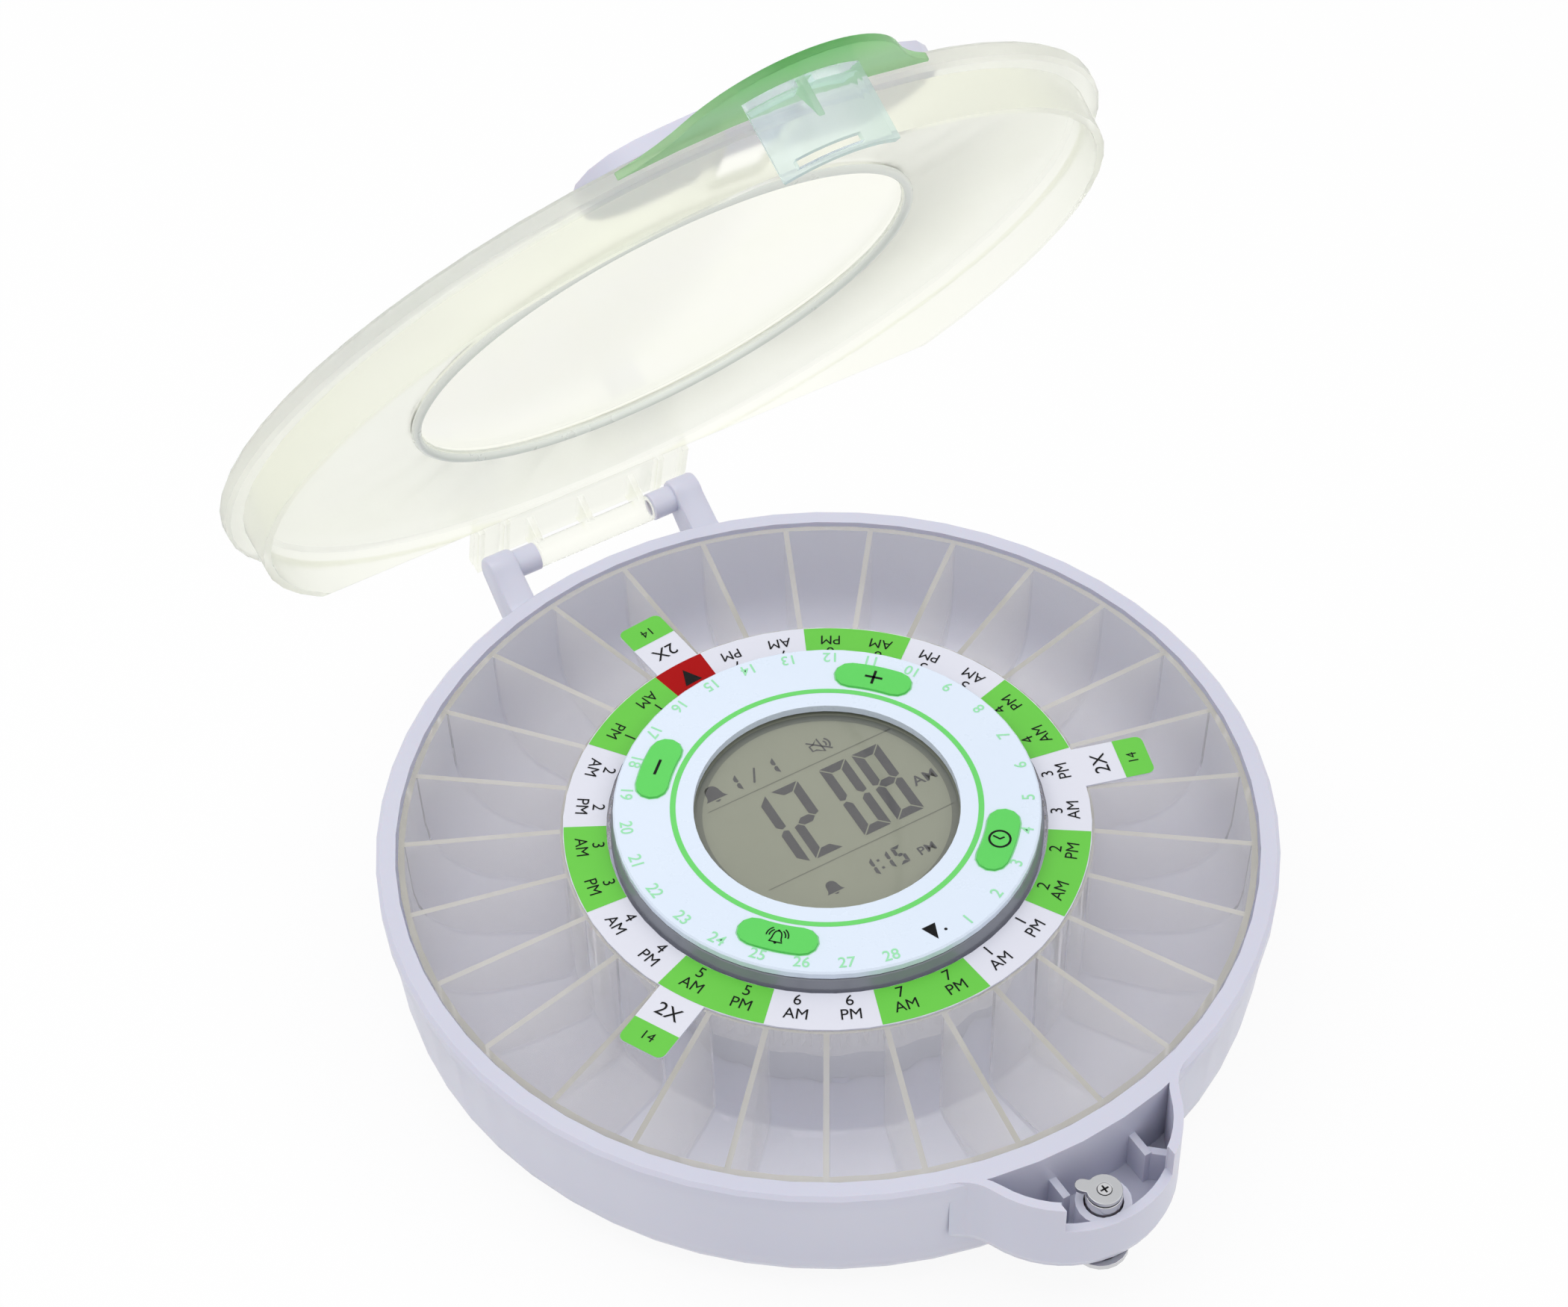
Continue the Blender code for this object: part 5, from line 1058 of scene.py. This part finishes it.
@dataclass
class Display(Dressing):
    """Round liquid crystal display that shows a time, under its clear lens.

    Icons are given in shares of their size or in metres from their own middle.
    """

    lens_edge: float = 0.00025
    shade_inner: float = 0.0262
    shade_outer: float = 0.0278
    shade_steps: int = 96
    slant: float = math.tan(math.radians(3.2))
    rows: tuple = (
        FigureRow("1208", (-0.0164, -0.0084, 0.0035, 0.0116), -0.0095, 0.0066, 0.0206, 0.0021),
        FigureRow("11", (-0.0136, -0.0044), 0.0148, 0.0022, 0.0047, 0.0009),
        FigureRow("115", (-0.0014, 0.0024, 0.0057), -0.0202, 0.0023, 0.0050, 0.0008))
    colon_place: tuple = (0.0022, -0.0177)
    colon_rise: float = 0.0011
    colon_dot: float = 0.0006
    marks: tuple = (("AM", 0.0027, (0.0226, -0.0022)), ("PM", 0.0022, (0.0126, -0.0191)))
    mark_squeeze: float = 1.05
    mark_weight: float = 0.012
    slash: tuple = ((-0.0086, 0.0153), (-0.0066, 0.0190))
    slash_width: float = 0.00045
    bells: tuple = (((-0.0176, 0.0147), 0.0050), ((-0.0095, -0.0198), 0.0040))
    bell_shape: BellShape = BellShape(dome=0.34, roundness=4.5, flare=0.18, top=0.94, drop=0.78,
                                      steps=16, crowding=1.6)
    clapper_half: float = 0.12
    clapper_drop: float = 0.10
    clapper_steps: int = 8
    speaker_place: tuple = (0.0085, 0.0171)
    speaker_line: float = 0.00042
    speaker_cone: tuple = ((-0.0020, -0.0008), (-0.0011, -0.0008), (0.0004, -0.0020), (0.0004, 0.0020),
                           (-0.0011, 0.0008), (-0.0020, 0.0008))
    speaker_bar: tuple = ((-0.0022, 0.0020), (0.0022, -0.0020))
    arc_place: tuple = (0.0006, 0.0)
    arc_radii: tuple = (0.0010, 0.0018)
    arc_half: float = 0.8
    arc_steps: int = 9
    line_left: float = -0.0212
    line_right: float = 0.0240
    line_levels: tuple = (0.0132, -0.0116)
    line_width: float = 0.00026

    def build(self) -> None:
        """Dresses the panel and lens, paints shade round the panel's edge and draws what the display
        shows.
        """
        self.dress("lcd_panel", "display_glass", Body.BASE)
        self.dress("display_lens", "clear_lens", Body.BASE, self.lens_edge, clear=True)
        self.dress("lcd_holder", "pale_grey_plastic", Body.BASE)
        height = PANEL_TOP + INK
        # painted shade: a darker ring round the panel's edge stands in for the shadow of the window's
        # rim
        shade = flat_band(self.shade_inner, self.shade_outer, 0, TURN, height, self.shade_steps)
        self.show("display_border", [shade], "display_shade")
        parts = self.colon(height) + self.muted_speaker(height)
        for row in self.rows:
            parts += row.build(self.slant, height)
        for text, size, place in self.marks:
            letters = words(text, size, height, self.mark_squeeze, self.mark_weight)
            parts.append(turned_by(letters, 0.0, place))
        parts.append(stroke(np.array(self.slash), self.slash_width, height))
        for foot, size in self.bells:
            parts += self.bell(foot, size, height)
        self.show("display_figures", parts, "display_digit")
        lines = [stroke(np.array([[self.line_left, level], [self.line_right, level]]), self.line_width,
                        height) for level in self.line_levels]
        self.show("display_lines", lines, "display_line")

    def show(self, name: str, parts: list[tuple], ink: str) -> None:
        """Lays flat work on the panel."""
        self.lay(name, parts, ink, Body.BASE, "display_glass")

    def colon(self, height: float) -> list:
        """Two small square dots one above the other, at a height above the underside."""
        dot = stroke(bar(self.colon_dot / 2), self.colon_dot, height)
        return [turned_by(dot, 0.0, np.array(self.colon_place) + (0.0, rise))
                for rise in (-self.colon_rise, self.colon_rise)]

    def bell(self, foot: tuple, size: float, height: float) -> list:
        """Solid bell sign with a half round clapper below it.

        Args:
            foot: x and y of the middle of its foot.
            size: height of the sign.
            height: height above the underside.

        Returns:
            Two sets of vertices and faces.
        """
        clapper = arc(np.linspace(math.pi, TURN, self.clapper_steps),
                      (self.clapper_half, self.clapper_drop), (0.0, self.clapper_drop))
        return [flat_outline(outline * size + foot, height)
                for outline in (self.bell_shape.outline()[::-1], clapper)]

    def muted_speaker(self, height: float) -> list:
        """Outline of a speaker with two sound arcs and a bar across it.

        Args:
            height: height above the underside.

        Returns:
            One set of vertices and faces for each line.
        """
        place = np.array(self.speaker_place)
        turn = np.linspace(-self.arc_half, self.arc_half, self.arc_steps)
        lines = [arc(turn, radius, self.arc_place) for radius in self.arc_radii]
        lines.append(np.array(self.speaker_bar))
        cone = stroke(np.array(self.speaker_cone) + place, self.speaker_line, height, closed=True)
        return [cone] + [stroke(line + place, self.speaker_line, height) for line in lines]


@dataclass
class ControlHead(Dressing):
    """Round control head: side ring, white face, four green keys and their signs."""

    ring_edge: float = 0.0003
    face_edge: float = 0.00025
    small_edge: float = 0.0002
    keys: tuple = (Body.KEY_BELL, Body.KEY_CLOCK, Body.KEY_MINUS, Body.KEY_PLUS)
    window_facing: float = 0.5
    window_reach: float = 0.001
    number_radius: float = 0.0422
    number_size: float = 0.0027
    number_skew: float = math.radians(-1.2)
    number_squeeze: float = 0.95
    number_weight: float = 0.01
    ring_inner: float = 0.0317
    ring_outer: float = 0.0329
    ring_steps: int = 180
    arrow_place: tuple = (0.0004, -0.0404)
    arrow_half: float = 0.0016
    arrow_rise: float = 0.0018
    arrow_sink: float = 0.0022
    dot_place: tuple = (0.0026, -0.0008)
    dot_radius: float = 0.00035
    dot_steps: int = 12
    key_inset: float = 0.0077
    key_half: float = 0.0034
    key_end: float = math.radians(7.8)
    key_turn: float = math.radians(-2.2)
    along_steps: int = 9
    cap_steps: int = 11
    seal_width: float = 0.0003
    seal_drop: float = 0.00012
    nub_place: tuple = (0.0004, -0.0441)
    nub_half: tuple = (0.0008, 0.0005, 0.0005)
    nub_columns: int = 16
    nub_rows: int = 5
    sign_radius: float = 0.0372
    sign_width: float = 0.0006
    plus_half: float = 0.00195
    plus_turns: tuple = (math.radians(-47), math.radians(43))
    minus_half: float = 0.00215
    minus_turn: float = math.radians(42)
    clock_radius: float = 0.0022
    clock_line: float = 0.00048
    clock_steps: int = 32
    clock_hands: tuple = (((0.0, 0.0), (-0.0007, 0.0015)), ((-0.0001, 0.0), (0.0011, -0.0001)))
    hand_width: float = 0.0004
    bell_shape: BellShape = BellShape(dome=0.00095, roundness=4.0, flare=0.0005, top=0.0015,
                                      drop=0.0029, steps=12, crowding=1.5, start=0.02)
    bell_turn: float = math.radians(-47)
    bell_line: float = 0.0003
    bell_knobs: tuple = ((0.0016, 0.00028), (-0.0016, 0.00032))
    knob_steps: int = 10
    sound_radii: tuple = (0.0017, 0.0023)
    sound_start: float = math.radians(-5)
    sound_end: float = math.radians(58)
    sound_rise: float = 0.0002
    sound_steps: int = 8

    def build(self) -> None:
        """Dresses the head and prints its dial."""
        self.dress("bezel_ring", "grey_ring", Body.BASE, self.ring_edge)
        face = self.dress("faceplate", "white_face", Body.BASE, self.face_edge)
        self.darken_window(face)
        self.dress("control_housing", "pale_grey_plastic", Body.BASE, self.small_edge)
        self.dress("circuit_board", "circuit_board", Body.BASE)
        self.dress("buzzer", "black_plastic", Body.BASE)
        for key in self.keys:
            self.dress("button_" + self.key_name(key), "green_key", key, self.small_edge)
            self.dress("switch_" + self.key_name(key), "black_plastic", Body.BASE)
        self.dial()
        self.seals()
        self.signs()
        self.nub()

    def key_name(self, key: Body) -> str:
        """Name of a key, from its body's."""
        return key.value.removeprefix("key_")

    def darken_window(self, face: Object) -> None:
        """Paints shade on the wall of the display's opening: its upright faces get a dark finish where
        the rim's shadow falls.

        Args:
            face: the white face, with the opening in its middle.
        """
        face.data.materials.append(self.finishes["dark_rim"])
        normals, centres = face_places(face.data)
        distance = np.hypot(*centres[:, :2].T)
        upright = np.abs(normals[:, 2]) < self.window_facing
        give_second_finish(face.data, upright & (distance < distance.min() + self.window_reach))

    def dial(self) -> None:
        """Prints the numbers 1 to 28, the green ring and the home arrow with its dot."""
        height = FACE_TOP + INK
        numbers = []
        for number in range(1, DIVISIONS):
            part = words(str(number), self.number_size, height, self.number_squeeze, self.number_weight)
            angle = FRONT + number * PITCH + self.number_skew
            numbers.append(round_spot(part, self.number_radius, angle))
        self.lay("dial_numbers", numbers, "pale_green_ink", Body.BASE, "white_face")
        ring = flat_band(self.ring_inner, self.ring_outer, 0, TURN, height, self.ring_steps)
        self.lay("dial_ring", [ring], "ring_green_ink", Body.BASE, "green_key")
        arrow = wedge(self.arrow_half, self.arrow_rise, -self.arrow_sink)
        dot = arc(around(self.dot_steps), self.dot_radius, self.dot_place)
        parts = [flat_outline(outline + self.arrow_place, height) for outline in (arrow, dot)]
        self.lay("dial_arrow", parts, "black_ink", Body.BASE, "white_face")

    def key_outline(self, centre: float, margin: float) -> np.ndarray:
        """Outline of a key: a band along an arc, closed by half circles, grown by a margin.

        Args:
            centre: angle of the key's middle.
            margin: how far the outline lies outside the key.

        Returns:
            Rows of x and y.
        """
        middle, half = FACE_RADIUS - self.key_inset, self.key_half + margin
        along = centre + np.linspace(-self.key_end, self.key_end, self.along_steps)
        cap = np.linspace(0, math.pi, self.cap_steps)[1:-1]
        last, first = [arc(angle + side * cap, half, arc(angle, middle))
                       for side, angle in ((1, along[-1]), (-1, along[0]))]
        return np.concatenate([arc(along, middle + half), last, arc(along, middle - half)[::-1],
                               first[::-1]])

    def seals(self) -> None:
        """Fills the gap round each key with the edge of the soft sheet below the face.

        The keys stand a quarter turn apart, from an eighth of a turn on, all turned by key_turn.
        """
        parts = []
        for number in range(len(self.keys)):
            centre = TURN / 8 * (1 + 2 * number) + self.key_turn
            rims = [self.key_outline(centre, margin) for margin in (self.seal_width, -self.seal_width)]
            parts.append(strip(np.stack(rims, axis=1), FACE_TOP - self.seal_drop, True))
        self.lay("key_seals", parts, "key_seal", Body.BASE, "green_key")

    def nub(self) -> None:
        """Small dome on the side ring below the arrow.

        At a turn t and a rise s the point stands at (a cos s cos t, b cos s sin t, c sin s), and
        one point closes the top.
        """
        columns, rows = self.nub_columns, self.nub_rows
        turn = around(columns)[:, None]
        rise = np.linspace(0, math.pi / 2, rows + 1)[None, :-1]
        points = np.stack([np.cos(rise) * np.cos(turn), np.cos(rise) * np.sin(turn),
                           np.sin(rise) + 0 * turn], axis=-1).reshape(-1, 3)
        points = np.concatenate([points, [[0.0, 0.0, 1.0]]]) * self.nub_half
        faces = grid_faces(columns, rows, True, False)
        for first in range(columns):
            second = (first + 1) % columns
            faces.append([(first + 1) * rows - 1, (second + 1) * rows - 1, columns * rows])
        points += (*self.nub_place, RING_TOP)
        self.lay("home_nub", [(points, faces)], "grey_ring", Body.BASE, "grey_ring")

    def signs(self) -> None:
        """Prints the signs on the four keys."""
        for key, maker in ((Body.KEY_PLUS, self.plus_sign), (Body.KEY_MINUS, self.minus_sign),
                           (Body.KEY_BELL, self.bell_sign), (Body.KEY_CLOCK, self.clock_sign)):
            low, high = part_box("button_" + self.key_name(key))
            middle = (low + high) / 2
            place = arc(math.atan2(middle.y, middle.x), self.sign_radius)[0]
            parts = [turned_by(part, 0.0, place) for part in maker(high.z + INK)]
            self.lay("sign_" + self.key_name(key), parts, "black_ink", key, "green_key")

    def plus_sign(self, height: float) -> list:
        """Two crossed bars, a quarter turn apart, at a height above the underside."""
        line = stroke(bar(self.plus_half), self.sign_width, height)
        return [turned_by(line, turn) for turn in self.plus_turns]

    def minus_sign(self, height: float) -> list:
        """One bar along the key's rounding, at a height above the underside."""
        return [turned_by(stroke(bar(self.minus_half), self.sign_width, height), self.minus_turn)]

    def clock_sign(self, height: float) -> list:
        """Ring with two hands.

        Args:
            height: height above the underside.

        Returns:
            One set of vertices and faces for each line.
        """
        rim = arc(around(self.clock_steps), self.clock_radius)
        hands = [stroke(np.array(hand), self.hand_width, height) for hand in self.clock_hands]
        return [stroke(rim, self.clock_line, height, closed=True)] + hands

    def bell_sign(self, height: float) -> list:
        """Outline bell with a knob and a clapper, between two pairs of sound arcs at its crown.

        Args:
            height: height above the underside.

        Returns:
            One set of vertices and faces for each line and knob.
        """
        parts = [stroke(self.bell_shape.outline(), self.bell_line, height, closed=True)]
        for level, radius in self.bell_knobs:
            parts.append(flat_outline(arc(around(self.knob_steps), radius, (0.0, level)), height))
        turn = np.linspace(self.sound_start, self.sound_end, self.sound_steps)
        for side in (1.0, -1.0):
            for radius in self.sound_radii:
                sound = arc(turn, (side * radius, radius), (0.0, self.sound_rise))
                parts.append(stroke(sound, self.bell_line, height))
        return [turned_by(part, self.bell_turn) for part in parts]


@dataclass
class Lid(Dressing):
    """Open frosted lid with its clear window, green nose, latch plate and outlet hood."""

    shell_edge: float = 0.0004
    small_edge: float = 0.00025
    latch_edge: float = 0.00015
    hinge: tuple = (0.1017, 0.0365)
    opened: float = math.radians(61)
    bead_inset: float = 0.0008
    bead_half: float = 0.0010
    bead_level: float = 0.0468
    bead_rows: int = 144
    bead_columns: int = 12

    def build(self) -> None:
        """Dresses the five mouldings of the lid."""
        self.dress("lid_shell", "frosted_lid_plastic", Body.LID, self.shell_edge,
                   edge_finish="frosted_lid_edge", clear=True)
        self.dress("lid_window", "clear_lid_plastic", Body.LID, self.small_edge, clear=True)
        self.dress("lid_nose", "green_clear_plastic", Body.LID, self.small_edge, clear=True)
        self.dress("latch_plate", "clear_lid_plastic", Body.LID, self.latch_edge, "clear_latch_plastic",
                   "clear_latch_edge", clear=True)
        self.dress("outlet_hood", "lavender_plastic", Body.LID, self.small_edge)
        self.bead()

    def bead(self) -> None:
        """Raises a round bead on the plate's underside, round the opening.

        On the closed lid, at a turn t and a turn s of the bead's own circle, the point stands
        at ((r + b cos s) cos t, (r + b cos s) sin t, h + b sin s); the whole ring is then
        turned about the hinge to the open place.
        """
        low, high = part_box("lid_window")
        turn, own = around(self.bead_rows)[:, None], around(self.bead_columns)[None, :]
        reach = (high.x - low.x) / 2 - self.bead_inset + self.bead_half * np.cos(own)
        y = reach * np.sin(turn) - self.hinge[0]
        z = self.bead_level + self.bead_half * np.sin(own) + 0 * turn - self.hinge[1]
        cosine, sine = math.cos(self.opened), math.sin(self.opened)
        points = np.stack([reach * np.cos(turn), y * cosine + z * sine + self.hinge[0],
                           z * cosine - y * sine + self.hinge[1]], axis=-1).reshape(-1, 3)
        faces = grid_faces(self.bead_rows, self.bead_columns, True, True)
        let_light_through(self.lay("window_bead", [(points, faces)], "frosted_lid_bead", Body.LID,
                                   "frosted_lid_plastic"))


@dataclass
class Studio:
    """Pale floor, soft lamps, white surroundings and the camera."""

    camera_place: tuple = (-0.24855, -0.41203, 0.59573)
    camera_turn: tuple = (math.radians(43.43), math.radians(0.86), math.radians(-31.02))
    lens: float = 80.45
    sensor: float = 36.0
    nearest: float = 0.01
    farthest: float = 20.0
    lamp_places: tuple = ((-0.40, 0.25, 1.10), (0.50, -0.40, 1.05))
    lamp_powers: tuple = (3.9, 2.5)
    lamp_size: float = 0.9
    lamp_aim: tuple = (0.0, 0.0, 0.05)
    sky: float = 0.76
    floor_half: float = 2.5
    floor_drop: float = 0.0002
    floor_tone: float = 0.88
    floor_roughness: float = 0.9
    floor_glow: float = 0.9

    def build(self) -> None:
        """Sets the whole stage."""
        self.floor()
        for name, place, power in zip(("key_lamp", "fill_lamp"), self.lamp_places, self.lamp_powers):
            self.lamp(name, Vector(place), power)
        self.surroundings()
        self.camera()

    def floor(self) -> None:
        """Lays a plain pale floor that keeps the object's soft shadow."""
        corners = np.array([[-1, -1], [1, -1], [1, 1], [-1, 1]]) * self.floor_half
        made = bpy.data.materials.new("pale_floor")
        made.use_nodes = True
        tree = made.node_tree
        shader = feed(tree, tree.nodes["Principled BSDF"], {
            "Base Color": (*[self.floor_tone] * 3, 1.0), "Roughness": self.floor_roughness,
            "Specular IOR Level": 0.0})
        glow = add_node(tree, "Emission", {"Strength": 1.0})
        mix = add_node(tree, "MixShader", {"Fac": self.seen_by_eye(tree, self.floor_glow),
                                           1: shader.outputs["BSDF"], 2: glow.outputs["Emission"]})
        feed(tree, tree.nodes["Material Output"], {"Surface": mix.outputs["Shader"]})
        new_piece("floor", *flat_outline(corners, -self.floor_drop), made)

    def seen_by_eye(self, tree: NodeTree, share: float) -> NodeSocket:
        """Share for rays that end in the picture: camera, glossy and transmission rays.

        Args:
            tree: the node tree.
            share: value given for such rays, zero for all others.

        Returns:
            The socket that carries the value.
        """
        path = add_node(tree, "LightPath", {}).outputs
        seen = path["Is Camera Ray"]
        for ray in ("Is Glossy Ray", "Is Transmission Ray"):
            seen = add_node(tree, "Math", {0: seen, 1: path[ray]}, operation="MAXIMUM").outputs["Value"]
        return add_node(tree, "Math", {0: seen, 1: share}, operation="MULTIPLY").outputs["Value"]

    def lamp(self, name: str, place: Vector, power: float) -> None:
        """Adds a large soft square lamp that faces the object.

        Args:
            name: name of the lamp.
            place: where it stands.
            power: its power in watts.
        """
        data = bpy.data.lights.new(name, "AREA")
        data.energy = power
        data.size = self.lamp_size
        made = bpy.data.objects.new(name, data)
        made.location = place
        made.rotation_euler = (Vector(self.lamp_aim) - place).to_track_quat("-Z", "Y").to_euler()
        bpy.context.scene.collection.objects.link(made)

    def surroundings(self) -> None:
        """Gives even light all round and a white view of it in the picture."""
        world = bpy.data.worlds.new("soft surroundings")
        world.use_nodes = True
        bpy.context.scene.world = world
        tree = world.node_tree
        lit = feed(tree, tree.nodes["Background"], {"Color": WHITE, "Strength": self.sky})
        white = add_node(tree, "Background", {"Color": WHITE, "Strength": 1.0})
        mix = add_node(tree, "MixShader", {"Fac": self.seen_by_eye(tree, 1.0),
                                           1: lit.outputs["Background"], 2: white.outputs["Background"]})
        feed(tree, tree.nodes["World Output"], {"Surface": mix.outputs["Shader"]})

    def camera(self) -> None:
        """Sets the camera at the photograph's angle."""
        data = bpy.data.cameras.new("view")
        data.lens = self.lens
        data.sensor_width = self.sensor
        data.clip_start = self.nearest
        data.clip_end = self.farthest
        made = bpy.data.objects.new("view", data)
        made.location = self.camera_place
        made.rotation_euler = Euler(self.camera_turn, "XYZ")
        bpy.context.scene.collection.objects.link(made)
        bpy.context.scene.camera = made


def main() -> None:
    """Builds every sub-assembly in order."""
    logging.basicConfig(level=logging.INFO, format="%(message)s")
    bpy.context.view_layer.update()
    finishes = Finishes().build()
    for part in (Base(finishes), Lock(finishes), Tray(finishes), Display(finishes),
                 ControlHead(finishes), Lid(finishes)):
        LOG.info("building %s", type(part).__name__)
        part.build()
    Studio().build()
    bpy.context.scene.view_settings.view_transform = "Standard"


if __name__ == "__main__":
    main()
